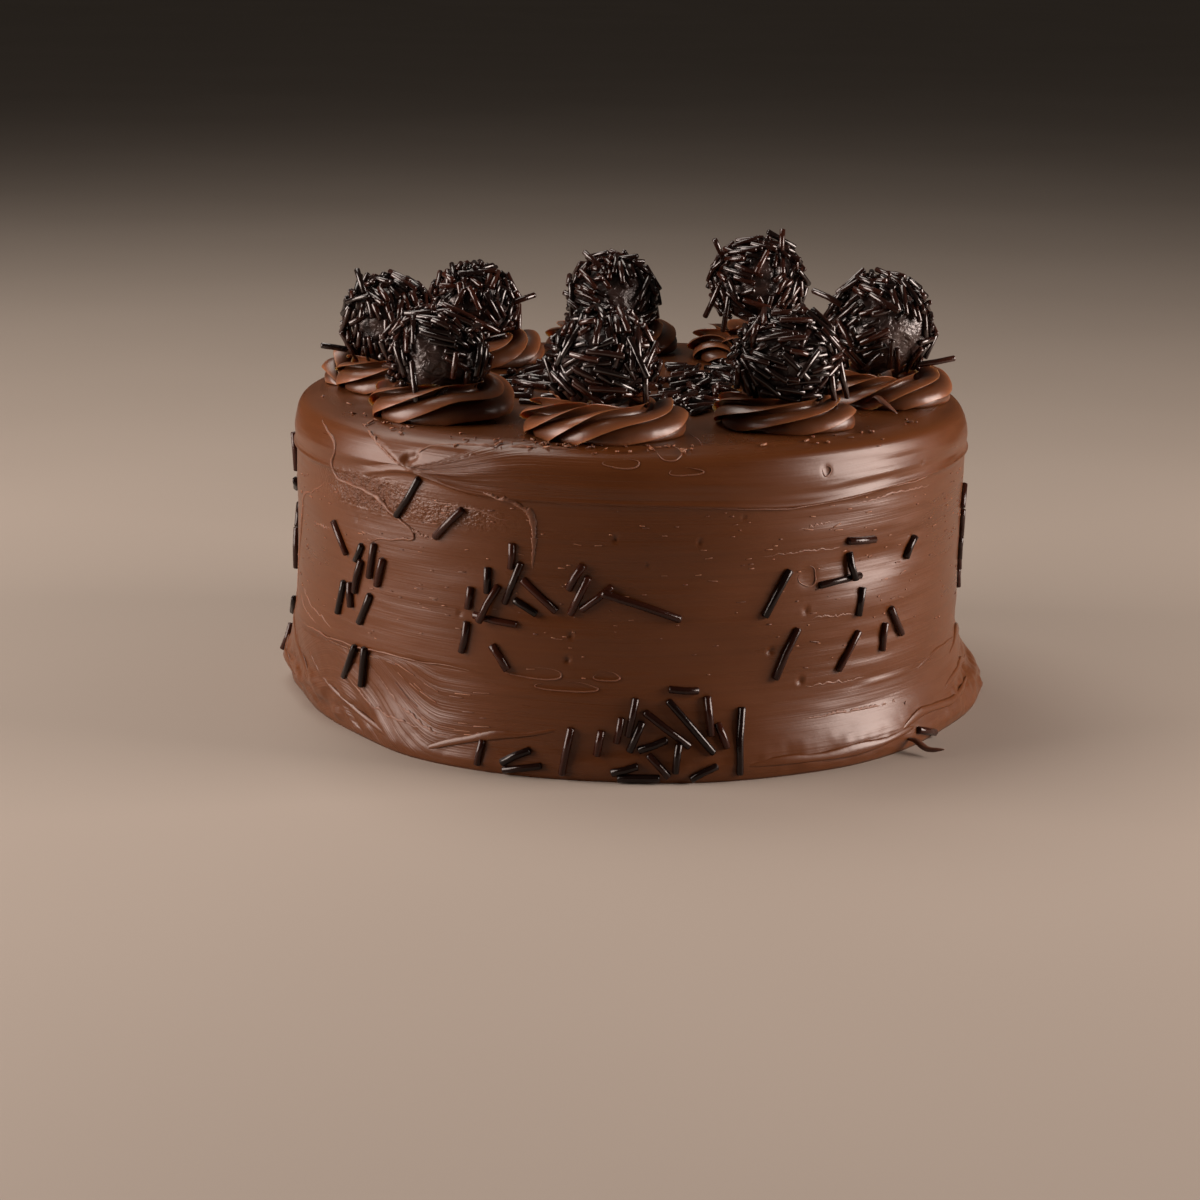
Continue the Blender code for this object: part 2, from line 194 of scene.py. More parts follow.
def profile_rows(azimuth):
    """Heights and radii of the named rows, lowest first, at each azimuth."""
    foot, ledge, lip = foot_radius(azimuth), ledge_height(azimuth), lip_height(azimuth)
    proud = LEDGE_PROUD * (1.0 - 0.85 * fade((azimuth + 92.0) / 14.0) * fade((110.0 - azimuth) / 30.0))
    proud = proud * (0.6 + 0.4 * np.sin(3.0 * np.radians(azimuth) + 0.5))
    bulge = BULGE_PROUD * hump(azimuth, BULGE_AZIMUTH, 24.0)
    level = np.ones_like(azimuth)
    top_edge = CAKE_RADIUS - SHOULDER
    rows = (
        (0.0 * level, foot - 0.6 * MM),
        (3.0 * MM * level, foot),
        (9.0 * MM * level, 0.7 * foot + 0.3 * CAKE_RADIUS + bulge),
        (17.0 * MM * level, 0.25 * foot + 0.75 * CAKE_RADIUS + 0.6 * bulge),
        (ledge - 2.5 * MM, CAKE_RADIUS + proud),
        (ledge + 1.5 * MM, CAKE_RADIUS * level),
        (45.0 * MM * level, CAKE_RADIUS * level),
        (59.0 * MM * level, CAKE_RADIUS * level),
        (71.0 * MM * level, CAKE_RADIUS * level),
        (lip - 1.8 * MM, (CAKE_RADIUS - 0.1 * MM) * level),
        (lip, (CAKE_RADIUS - 0.1 * MM) * level),
        (lip + 2.5 * MM, (CAKE_RADIUS - 0.2 * MM) * level),
        ((CAKE_HEIGHT - SHOULDER) * level, CAKE_RADIUS * level),
        ((CAKE_HEIGHT - 0.3 * SHOULDER) * level, (top_edge + 0.71 * SHOULDER) * level),
        (CAKE_HEIGHT * level, top_edge * level),
    )
    heights = np.stack([z for z, _ in rows])
    radii = np.stack([r for _, r in rows])
    angle = np.radians(azimuth)
    waves = 0.5 * np.cos(2.0 * angle + 1.1) + 0.35 * np.cos(5.0 * angle + 55.0 * heights)
    waves = (waves - 0.6 * np.sin(np.pi * heights / CAKE_HEIGHT)) * MM
    inside = (heights > 0.01) & (heights < 0.093)
    return heights, radii + waves * inside


def through_rows(rows, way):
    """A smooth curve through the rows: on each stretch a cubic that leaves each row on the slope of
    its two neighbours. way is the row number, with parts of a row between."""
    low = np.clip(np.floor(way).astype(int), 0, len(rows) - 2)
    t = (way - low)[:, None]
    before, after = rows[np.maximum(low - 1, 0)], rows[np.minimum(low + 2, len(rows) - 1)]
    start, end = rows[low], rows[low + 1]
    leave, arrive = 0.5 * (end - before), 0.5 * (after - start)
    return ((1 + 2 * t) * (1 - t) ** 2 * start + t * (1 - t) ** 2 * leave
            + t * t * (3 - 2 * t) * end - t * t * (1 - t) * arrive)


# %% [markdown]
# ### Knife marks as relief
# The long streaks are noise stretched along the azimuth and squeezed in height, as a knife's edge
# drags the same nick for a hand's width. In the top band the streaks fan out from the point where the
# last stroke began. At the lower left the knife came down, swung round and left to the right, so the
# streaks there follow its curve. A crease marks where the side's last layer ends above the foot.

# %% Relief of the wall
ARC = CAKE_RADIUS * math.pi / 180.0
SWING_AZIMUTH = -30.0
# Bubbles that the knife opened into pits: azimuth, height in mm, radius in mm
PITS = ((-37, 92.4, 1.8), (-35.8, 93.6, 1.1), (-9.2, 36.8, 0.9), (-8.7, 44.2, 0.8), (29.3, 49.7, 0.9),
        (23.3, 38.3, 1.0), (28.8, 27.9, 1.0), (41.8, 97.0, 0.8), (55.4, 88.6, 0.7), (6.4, 98.4, 1.2),
        (-49, 71, 0.6), (11, 73, 0.7), (3, 66, 0.6), (-2, 74, 0.8), (18, 80, 0.6), (-27, 48, 0.7),
        (61, 72, 0.6))
# Bubbles that the knife only skinned: azimuth and height of the middle, half width in degrees and mm
SKINNED_BUBBLES = ((-14.3, 32.1, 4.6, 1.7), (-9.2, 28.6, 4.8, 1.5), (-3.0, 32.1, 2.0, 1.4),
                   (-1.1, 96.2, 2.8, 1.2), (8.6, 94.1, 2.6, 1.1), (6.4, 98.6, 1.9, 1.5),
                   (32.4, 91.9, 0.8, 1.5), (29.5, 60.1, 1.6, 3.0))
# Broad dents: azimuth, height, half width in degrees, half height in mm, depth in mm
DENTS = ((43, 62, 8, 5, 1.3), (44, 49, 10, 4, -0.6), (-12, 51, 7, 4, 0.7), (34, 96, 16, 6, 0.6),
         (-27, 62, 7, 4, 0.5), (20, 60, 5, 4, 0.4), (-70, 56, 9, 9, 0.5), (-41, 19, 12, 8, 1.5),
         (130, 60, 14, 8, 0.8), (190, 45, 16, 9, 0.7), (240, 66, 14, 8, 0.8))


def swing_curve(azimuth):
    """Height in mm of the curve that the knife followed at the lower left, over its lowest point: a
    hyperbola on the left, which straightens into a steep slope, and a slow parabola on the right."""
    across = (azimuth - SWING_AZIMUTH) * ARC / MM
    fall = 9.6 * (np.sqrt(1.0 + (across / 12.0) ** 2) - 1.0)
    return np.where(across < 0.0, fall, 0.0035 * across ** 2)


def swing(azimuth, height):
    """Height over the knife's curve at the lower left, in mm."""
    return height / MM - swing_curve(azimuth)


def crease_height(azimuth):
    """Height of the crease above the foot: it climbs slowly from the left and ends in a steeper fall."""
    left, right = np.maximum(-33.0 - azimuth, 0.0), np.maximum(azimuth + 27.0, 0.0)
    return (31.2 - 0.08 * left - 0.3 * right) * MM


def pit_relief(azimuth, height):
    """Round dents with a raised rim: a bell curve down, and a narrower ring up around it. A skinned
    bubble is a flat oval hollow, less than half a millimetre deep."""
    relief = np.zeros(np.broadcast(azimuth, height).shape)
    for place, level, size in PITS:
        distance = np.hypot((azimuth - place) * ARC, height - level * MM) / (size * MM)
        relief = relief - 0.9 * size * np.exp(-distance ** 2)
        relief = relief + 0.1 * np.exp(-((distance - 1.5) / 0.4) ** 2)
    for place, level, wide, tall in SKINNED_BUBBLES:
        distance = np.hypot((azimuth - place) / wide, (height / MM - level) / tall)
        relief = relief - 0.4 * np.exp(-distance ** 4)
    return relief


def streaks(azimuth, height):
    """Level streaks of three widths, all round, stronger on the right where the knife ran dry."""
    turn = azimuth / 360.0 * 32.0
    slow = lattice_noise([turn * 0.5, height / (9.0 * MM)], 3, 16)
    middle = lattice_noise([turn, height / (3.2 * MM)], 4)
    fine = lattice_noise([turn * 2.0, height / (1.3 * MM)], 5, 64)
    dry = 0.6 + 1.0 * hump(azimuth, 46.0, 26.0)
    return 0.26 * slow + dry * (0.10 * middle + 0.07 * fine)


def band_share(azimuth, height):
    """Place across the top band's stroke, 0 on its lower edge and 1 on its upper one, and a mask. The
    stroke starts as a point at the lip's tip and spreads to the band's width."""
    lip = lip_height(azimuth)
    top = 90.5 * MM + 8.5 * MM * fade((azimuth - LIP_TIP) / 22.0)
    share = (height - lip) / np.maximum(top - lip, 2.0 * MM)
    inside = fade(share / 0.05) * fade((1.3 - share) / 0.2) * fade((azimuth - LIP_TIP) / 3.0)
    return share, inside * fade((110.0 - azimuth) / 30.0)


def band_fan(azimuth, height):
    """Streaks of the top band, which fan out with its stroke, deepest near its start."""
    share, inside = band_share(azimuth, height)
    coarse = lattice_noise([azimuth / 17.0, share * 4.5 + azimuth * 0.01], 8, 64)
    fine = lattice_noise([azimuth / 13.0, share * 9.0], 9, 64)
    return inside * (0.5 + 1.0 * hump(azimuth, -23.0, 17.0)) * (0.40 * coarse + 0.36 * fine)


def swing_mask(azimuth, height):
    """1 at the lower left, below the crease, where the knife swung round."""
    return hump(azimuth, -44.0, 23.0) * fade((crease_height(azimuth) - height) / (2.0 * MM))


def lower_left_swing(azimuth, height):
    """Fine streaks along the swing, only below the crease."""
    level = swing(azimuth, height)
    coarse = lattice_noise([level / 2.9, azimuth / 13.0], 10, 64)
    fine = lattice_noise([level / 1.3, azimuth / 9.0], 11, 64)
    return swing_mask(azimuth, height) * (0.36 * coarse + 0.26 * fine)


def combed(azimuth, height):
    """Where the knife's nicks are deepest: 1 in the swing and nearly 2 at the start of the top band."""
    start = 1.9 * band_share(azimuth, height)[1] * hump(azimuth, -22.0, 22.0)
    return start + swing_mask(azimuth, height)


def across_stroke(azimuth, height):
    """Distance across the knife's stroke in mm: the height, but the place in the fan in the top band and
    the height over the knife's curve at the lower left. The material draws its fine scratches along
    lines where this is constant."""
    share, inside = band_share(azimuth, height)
    lower = swing_mask(azimuth, height)
    level = height / MM * (1.0 - lower) + swing(azimuth, height) * lower
    return level * (1.0 - inside) + (84.0 + 15.0 * share) * inside


def layer_edges(azimuth, height):
    """The step under the top band, the slanting one to the left of its tip, and the crease where the
    side's last layer ends.

    The step rises within half a millimetre and leans back to the wall over the band's height, so
    the band's face looks up a little and catches the light."""
    edge = (height - lip_height(azimuth)) / MM
    step = fade((edge + 0.35) / 0.7) * np.exp(-np.maximum(edge, 0.0) / 6.5)
    step = step + 0.25 * np.exp(-((edge - 0.4) / 0.5) ** 2)
    drop = (height - crease_height(azimuth)) / MM
    layer = fade((drop + 0.3) / 0.6) * np.exp(-np.maximum(drop, 0.0) / 16.0)
    crease = layer - 0.5 * np.exp(-((drop + 0.7) / 0.5) ** 2)
    here = fade((azimuth + 84.0) / 12.0) * fade((-12.0 - azimuth) / 16.0)
    over = height / MM - 90.0 + 0.8 * (azimuth - LIP_TIP)
    plane = fade((over + 0.3) / 0.6) * np.exp(-np.maximum(over, 0.0) / 5.0)
    plane = plane * fade((azimuth + 56.0) / 6.0) * fade((-35.0 - azimuth) / 2.0)
    return LIP_PROUD / MM * lip_strength(azimuth) * step + 0.55 * here * crease + 1.2 * plane


def dents(azimuth, height):
    """Broad shallow dents where the knife was pressed or lifted, as bell curves."""
    relief = 0.0
    for place, level, wide, tall, deep in DENTS:
        relief = relief - deep * hump(azimuth, place, wide) * np.exp(-((height / MM - level) / tall) ** 2)
    return relief


def foot_lumps(azimuth, height):
    """Squeezed-out frosting at the foot: lumps, larger at the far left and the far right."""
    across = azimuth * ARC
    lumps = lattice_noise([across / (7.0 * MM) + 80.0, height / (4.0 * MM)], 12, 64)
    small = lattice_noise([across / (2.6 * MM) + 90.0, height / (2.0 * MM)], 13, 64)
    ragged = hump(azimuth, -72.0, 20.0) + hump(azimuth, 84.0, 16.0) + 0.15 * hump(azimuth, 45.0, 26.0)
    low = fade((14.0 * MM + 8.0 * MM * ragged - height) / (9.0 * MM))
    return low * ((0.25 + 0.9 * ragged) * lumps + (0.08 + 0.4 * ragged) * small)


def pitted_mask(azimuth, height):
    """Where the frosting was scraped dry and torn into grains: a patch and a trail to its right."""
    level = height / MM
    patch = hump(azimuth, -47.0, 9.0) * fade((level - 73.0) / 4.0) * fade((86.0 - level) / 3.0)
    trail = hump(azimuth, -29.0, 9.0) * fade((level - 73.0) / 3.0) * fade((82.0 - level) / 3.0)
    return np.clip(1.3 * patch + 0.55 * trail, 0.0, 1.0)


def wall_relief(azimuth, height):
    """How far the knife's marks stand proud of the smooth wall, in metres."""
    grains = lattice_noise([azimuth * ARC / (1.5 * MM) + 90.0, height / (1.5 * MM)], 14, 64)
    marks = streaks(azimuth, height) + band_fan(azimuth, height) + lower_left_swing(azimuth, height)
    marks = marks + layer_edges(azimuth, height) + foot_lumps(azimuth, height)
    marks = marks + dents(azimuth, height) + pit_relief(azimuth, height)
    marks = marks - 0.45 * pitted_mask(azimuth, height) * (1.0 + grains)
    return marks * MM * fade(height / (3.0 * MM)) * fade((98.5 * MM - height) / (6.0 * MM))


def top_height(x, y):
    """Height of the flat top: level, with shallow marks of the knife that never rise above it."""
    marks = lattice_noise([x / (14.0 * MM) + 8.0, y / (9.0 * MM) + 8.0], 7)
    return CAKE_HEIGHT - 0.25 * MM * (1.0 + marks) * fade((99.0 * MM - np.hypot(x, y)) / (6.0 * MM))


# %% The grid of the frosted body
WALL_COLUMNS = 600
WALL_ROWS = 132
TOP_ROWS = 25
FRONT_DENSITY = 0.48
# Number of the profile's highest row, counted from 0
LAST_ROW = 14.0


def body_azimuths():
    """Azimuths all round, closer together at the front: the way round is stretched by a slow wave."""
    even = np.arange(WALL_COLUMNS) / WALL_COLUMNS * TAU
    return np.degrees(even - FRONT_DENSITY * np.sin(even))


def wall_way():
    """Row numbers for the grid's rows: even steps up the profile, finer at the lip and the crease."""
    way = np.linspace(0.0, LAST_ROW, 2800)
    heights, radii = [through_rows(rows, way)[:, 0] for rows in profile_rows(np.array([0.0]))]
    step = np.hypot(np.diff(heights), np.diff(radii))
    middle = 0.5 * (way[1:] + way[:-1])
    band, crease = np.exp(-((middle - 10.8) / 1.2) ** 2), np.exp(-((middle - 4.6) / 0.9) ** 2)
    step = step * (1.0 + 1.5 * band + 0.6 * crease)
    length = np.concatenate([[0.0], np.cumsum(step)])
    return np.interp(np.linspace(0.0, length[-1], WALL_ROWS), length, way)


def frosted_body():
    """The body's skin: a few rings under the foot, the wall's rows, then rings in to the top's middle."""
    azimuth = (body_azimuths() + 180.0) % 360.0 - 180.0
    rows_z, rows_r = profile_rows(azimuth)
    way = wall_way()
    height, radius = through_rows(rows_z, way), through_rows(rows_r, way)
    radius = radius + wall_relief(azimuth[None, :], height)
    wall = radius[..., None] * outward(azimuth) + height[..., None] * [0.0, 0.0, 1.0]
    under = wall[0] * [1.0, 1.0, 0.0] * np.array([0.05, 0.5, 0.97])[:, None, None]
    share = np.linspace(1.0, 0.0, TOP_ROWS + 1)[1:, None, None] ** 1.15
    top = wall[-1] * [1.0, 1.0, 0.0] * np.maximum(share, 0.012)
    top[..., 2] = top_height(top[..., 0], top[..., 1])
    grid = np.concatenate([under, wall, top])
    wall_rows = slice(len(under), len(under) + WALL_ROWS)
    pitted, nicked = np.zeros(grid.shape[:2]), np.zeros(grid.shape[:2])
    pitted[wall_rows] = pitted_mask(azimuth[None, :], height)
    nicked[wall_rows] = combed(azimuth[None, :], height)
    on_top = (np.arange(len(grid)) >= wall_rows.stop)[:, None]
    across = grid[..., 2] / MM + 0.35 * grid[..., 0] / MM * on_top
    across[wall_rows] = across_stroke(azimuth[None, :], height)
    return closed_skin("frosting", grid, {"pitted": pitted, "nicked": nicked, "across": across})


frosting = frosted_body()
print("frosting:", len(frosting.data.polygons), "faces")


# %% Points on the wall for whatever lies on it
def wall_point(azimuth, height, lift=0.0):
    """The place on the wall at an azimuth and a height, moved outwards by lift."""
    azimuth = np.atleast_1d(np.asarray(azimuth, float))
    height = np.atleast_1d(np.asarray(height, float))
    way = np.linspace(0.0, LAST_ROW, 400)
    rows_z, rows_r = profile_rows(azimuth)
    climb, reach = through_rows(rows_z, way), through_rows(rows_r, way)
    radius = np.array([np.interp(z, climb[:, k], reach[:, k]) for k, z in enumerate(height)])
    radius = radius + wall_relief(azimuth, height) + lift
    return radius[:, None] * outward(azimuth) + height[:, None] * np.array([0.0, 0.0, 1.0])


# %% [markdown]
# ## Lips and curls of the knife
# Where the knife was lifted it left thin raised lips, too narrow for the body's grid. Each is a tube
# swept along a path on the wall: a flattened, lopsided section that is half sunk in the frosting and
# tapers to nothing at both ends.

# %% Sweep a flattened tube along a path
def smooth_path(points, count):
    """Count points on a curve through the given ones, evenly spread along it."""
    points = np.asarray(points, float)
    way = np.linspace(0.0, len(points) - 1.0, 12 * len(points))
    curve = through_rows(points, way)
    length = np.concatenate([[0.0], np.cumsum(np.linalg.norm(np.diff(curve, axis=0), axis=1))])
    even = np.linspace(0.0, length[-1], count)
    return np.stack([np.interp(even, length, curve[:, k]) for k in range(3)], axis=-1)


def swept_lip(path, away, width, rise, lean=0.35, sides=12, point=0.6):
    """A grid of points: at each point of the path an ellipse, width across and rise outwards, whose
    outer half leans to one side. Both sizes taper to nothing at the ends, slowly where point is high."""
    along = np.gradient(path, axis=0)
    along /= np.linalg.norm(along, axis=1, keepdims=True)
    across = np.cross(along, away)
    across /= np.linalg.norm(across, axis=1, keepdims=True)
    t = np.linspace(0.0, 1.0, len(path))
    taper = np.maximum(np.sin(np.pi * t), 0.0) ** point + 0.02
    turn = TAU * np.arange(sides) / sides
    side = width * (0.5 * np.cos(turn) + lean * np.maximum(np.sin(turn), 0.0) ** 2)
    out = np.broadcast_to(rise * np.sin(turn), (len(path), sides))
    return (path[:, None] + (taper[:, None] * side)[..., None] * across[:, None]
            + (taper[:, None] * out)[..., None] * away[:, None])


def join_skins(name, grids, tone=0.0):
    """One mesh from several closed grids, each with its own faces, and one tone for all."""
    points, quads, triangles, start = [], [], [], 0
    for grid in grids:
        faces, fans = skin_faces(*grid.shape[:2])
        points.append(with_end_points(grid))
        quads.append(faces + start)
        triangles.append(fans + start)
        start += len(points[-1])
    quads, triangles = np.concatenate(quads), np.concatenate(triangles)
    return build_mesh(name, np.concatenate(points), quads, triangles, {"tone": np.full(start, tone)})


# %% The lips themselves
# Azimuth and height in mm at places along each, then its width and rise in mm
KNIFE_LIPS = (
    (((-63.4, 96.9), (-57, 93.5), (-54.8, 90.4), (-56.2, 86), (-54.1, 81.7), (-46.5, 80.4), (-39.6, 74.9),
      (-36.1, 71.4), (-35.7, 68.5), (-38.6, 67.3), (-47.9, 64.7)), 1.0, 0.8),
    (((-38.6, 73.8), (-35.6, 70.9), (-31.7, 69.2)), 0.8, 0.5),
    (((-23, 85.6), (-18.2, 83.8), (-15.8, 81.5), (-14.8, 78), (-14.6, 72.3), (-14.9, 63.5)), 1.6, 0.9),
    (((-58, 80), (-63.3, 74.7), (-71.7, 68.9), (-77, 56), (-79, 43.6), (-81, 26)), 0.8, 0.45),
    (((-66, 63.3), (-57.3, 64.4)), 0.6, 0.3),
    (((-51.8, 98.8), (-48.1, 97.8), (-41.6, 93.5), (-36.9, 89.8), (-35.3, 87.7)), 0.9, 0.5),
    (((-37.5, 91.5), (-35, 95), (-33.1, 97.2), (-29, 98.2), (-22, 98.8), (-15, 99), (-4, 99.1)), 0.8, 0.4),
    (((-35.6, 81.2), (-26.4, 80.5), (-18.2, 77.5)), 0.6, 0.3),
    (((20, 67.8), (28.3, 68.2), (38.9, 67.5)), 0.5, 0.22),
    (((26.3, 75.1), (30.2, 75.6), (35.3, 76.6)), 0.5, 0.22),
    (((29.7, 47.3), (39.4, 46.6)), 0.5, 0.25),
    (((28.3, 15.9), (36.7, 16.1), (50.9, 15.3)), 0.7, 0.3),
    (((28.6, 25.9), (43, 25.6)), 0.5, 0.25),
    (((36, 80), (48, 81.5), (60, 80.5)), 0.6, 0.3),
    (((-74.6, 41.2), (-67.5, 36.5), (-60.9, 34.2), (-56.8, 31.6)), 0.6, 0.3),
    (((-76, 37), (-69, 32.9), (-63, 31)), 0.5, 0.25),
    (((-45.5, 23.4), (-41, 16.5), (-35.8, 12.4), (-30.8, 9.3), (-26.3, 10.7)), 0.7, 0.35),
    (((-54.2, 19.7), (-46.5, 12.7), (-39.5, 10.3), (-32.7, 10.2)), 0.7, 0.35),
    (((-77, 27.8), (-64.7, 28.8), (-56.8, 29.4), (-45.7, 30.3), (-34.9, 31.1), (-27, 31), (-22.4, 29.4)),
     0.5, 0.3),
    (((-13, 84), (0, 83.9), (10, 83.5), (19, 82.5), (27, 82), (35, 82.5), (44, 83.5), (54, 83.9), (78, 84)),
     0.5, 0.35),
)
FOOT_FOLDS = (
    (((-34.8, 2.6), (-28.9, 7.1), (-23.5, 10.5), (-15, 13.6), (-9.4, 15.7)), 2.2, 0.8),
    (((-70, 22.8), (-62.4, 14.9), (-52.3, 9.5), (-43.6, 4.9), (-34.8, 3.8)), 1.8, 0.7),
    (((55, 22), (66, 26), (78, 23)), 1.2, 0.5),
    (((64, 12), (76, 15), (90, 12)), 2.0, 0.8),
    (((17, 4.5), (26.6, 5.5), (37, 5), (45, 6), (54, 6.5)), 3.6, 1.2),
    (((48, 6), (56, 10), (68, 8), (80, 10)), 3.0, 1.0),
    (((70, 20), (80, 24), (92, 20), (100, 14)), 2.6, 1.0),
    (((-88, 26), (-80, 22), (-72, 16), (-64, 9)), 3.0, 0.8),
    (((-96, 18), (-86, 12), (-78, 6)), 3.0, 0.8),
)
# Between the torn frosting's two colours, a drier colour and a painted highlight on the lips, and the
# number of points along each lip
LIP_DRY_AND_HIGHLIGHT_TONE = 0.35
LIP_POINTS = 96


def even_out(path, reach):
    """Each point moved to the mean of its neighbours, reach points either way."""
    padded = np.concatenate([np.repeat(path[:1], reach, 0), path, np.repeat(path[-1:], reach, 0)])
    total = np.cumsum(np.concatenate([np.zeros((1, 3)), padded]), axis=0)
    return (total[2 * reach + 1:] - total[:-2 * reach - 1]) / (2 * reach + 1)


def wall_lips(table, tear, reach):
    """Grids of a table's lips. Each wanders a little and grows wider and narrower on its way, in
    short steps too where tear is high. A lip is evened out over the wall's lumps by its reach."""
    grids, step = [], np.arange(LIP_POINTS)
    for k, (places, width, rise) in enumerate(table):
        places = np.array(places, float)
        path = smooth_path(wall_point(places[:, 0], places[:, 1] * MM), LIP_POINTS)
        azimuth = np.degrees(np.arctan2(path[:, 0], -path[:, 1]))
        path = even_out(wall_point(azimuth, path[:, 2], -0.1 * MM), reach)
        azimuth = np.degrees(np.arctan2(path[:, 0], -path[:, 1]))
        wander = lattice_noise([step / (4.0 + reach)], k + 50)[:, None]
        ragged = tear * lattice_noise([step / 1.7], k + 80)[:, None]
        path = path + (0.4 * wander + 0.5 * ragged) * [0.0, 0.0, MM]
        width = width * MM * (1.0 + 0.35 * wander + ragged)
        grids.append(swept_lip(path, outward(azimuth), width, rise * MM))
    return grids


def bubble_rims():
    """Grids of the thin rims round the skinned bubbles: open ovals, thickest at the bottom, that taper
    to nothing at the upper left, where the knife smoothed them."""
    grids = []
    for azimuth, height, wide, tall in SKINNED_BUBBLES:
        turn = np.linspace(0.85 * np.pi, 2.5 * np.pi, 60)
        wobble = 1.0 + 0.1 * np.sin(3.0 * turn + azimuth)
        around = azimuth + wide * wobble * np.cos(turn)
        path = wall_point(around, (height + tall * wobble * np.sin(turn)) * MM, 0.05 * MM)
        grids.append(swept_lip(path, outward(around), 0.5 * MM, 0.28 * MM, 0.1, 8, 0.8))
    return grids


knife_lips = join_skins("knife_lips", wall_lips(KNIFE_LIPS, 0.35, 1) + bubble_rims(), LIP_DRY_AND_HIGHLIGHT_TONE)
foot_folds = join_skins("foot_folds", wall_lips(FOOT_FOLDS, 0.03, 14))
print("knife lips:", len(knife_lips.data.polygons), "faces")
print("folds of the foot:", len(foot_folds.data.polygons), "faces")


# %% [markdown]
# ## Piped rosettes
# A star-shaped nozzle lays a rope with deep ridges. The nozzle keeps facing the same way while the hand
# goes round, so each ridge starts low on the outside, climbs over the rope and dives into the middle.
# The rope is therefore a tube round a spiral, and its radius is a star whose points move round the tube
# as the spiral turns. Each ridge slopes gently above its lip and is deeply undercut below it, so the
# lips stand out as thin blades. The tube's points crowd together at the lips, which keeps them sharp.

# %% Sizes of the rosettes and their places on the ring
# The rope's half width and half height, and how far its axis lies above its bed, in half heights
ROPE_WIDTH = 8.6 * MM
ROPE_RISE = 7.4 * MM
ROPE_BED = 0.55
# Ridges round the rope, how many of them pass in one turn of the spiral, and their depth and lean
RIDGES = 7
RIDGE_CLIMB = 8
RIDGE_DEPTH = 0.5
RIDGE_LEAN = 0.62
LIP_CROWDING = 0.13
TAIL_STEP = 3.2 * MM
SPIRAL_TURNS = 1.22
# Name, azimuth and distance from the axis, rosette's radius, height of the ball's middle and its
# radius, and the angle from +X at which the rope ends. Lengths are in mm and angles in degrees.
PLACES = (
    ("1", -91, 79.0, 24.8, 120.0, 13.9, 200),
    ("2", 225, 78.0, 25.0, 117.5, 14.2, 60),
    ("3", -50, 78.4, 24.6, 117.5, 14.2, 170),
    ("4", 185, 80.8, 24.6, 117.6, 14.6, 300),
    ("5", -6, 77.8, 26.1, 121.3, 14.2, 40),
    ("6", 148, 83.0, 24.6, 125.5, 14.8, 250),
    ("7", 39, 75.5, 23.6, 119.2, 15.0, 20),
    ("8", 81, 81.0, 24.3, 123.5, 15.6, 120),
)
# How high each rope was pressed out, and where its ridges start round the tube, in ridges
ROPE_HEIGHTS = {"1": 0.95, "2": 0.92, "3": 1.0, "4": 0.92, "5": 0.95, "6": 0.92, "7": 0.88, "8": 0.9}
RIDGE_STARTS = {"1": 0.5, "2": 0.0, "3": 0.35, "4": 0.0, "5": 0.1, "6": 0.0, "7": 0.6, "8": 0.2}
# How deep the ball is pressed into its bed, in mm
PRESSED_IN = 0.4


def over_the_ring(azimuth, ring, height):
    """The point at an azimuth, ring mm from the axis and height metres up."""
    return ring * MM * outward(azimuth) + [0.0, 0.0, height]


def shoulder_drop(radius):
    """How far the cake's rounded shoulder has fallen at a distance from the axis: a quarter circle."""
    inside = np.clip((radius - (CAKE_RADIUS - SHOULDER)) / SHOULDER, 0.0, 0.92)
    return SHOULDER * (1.0 - np.sqrt(1.0 - inside ** 2))


def star_section(part):
    """Radius factor and lean of the rope's section, part of a ridge counted from lip to lip.

    The factor falls from 1 on the lip into the groove, which is deepest past half of the way, and
    climbs back steeply. The lean pulls the lips down over the groove below them, by a share of the
    ridge's width."""
    depth = np.maximum(np.sin(np.pi * part ** 1.45), 0.0) ** 0.8
    return 1.0 - RIDGE_DEPTH * depth, -RIDGE_LEAN * (1.0 - depth) ** 2.0


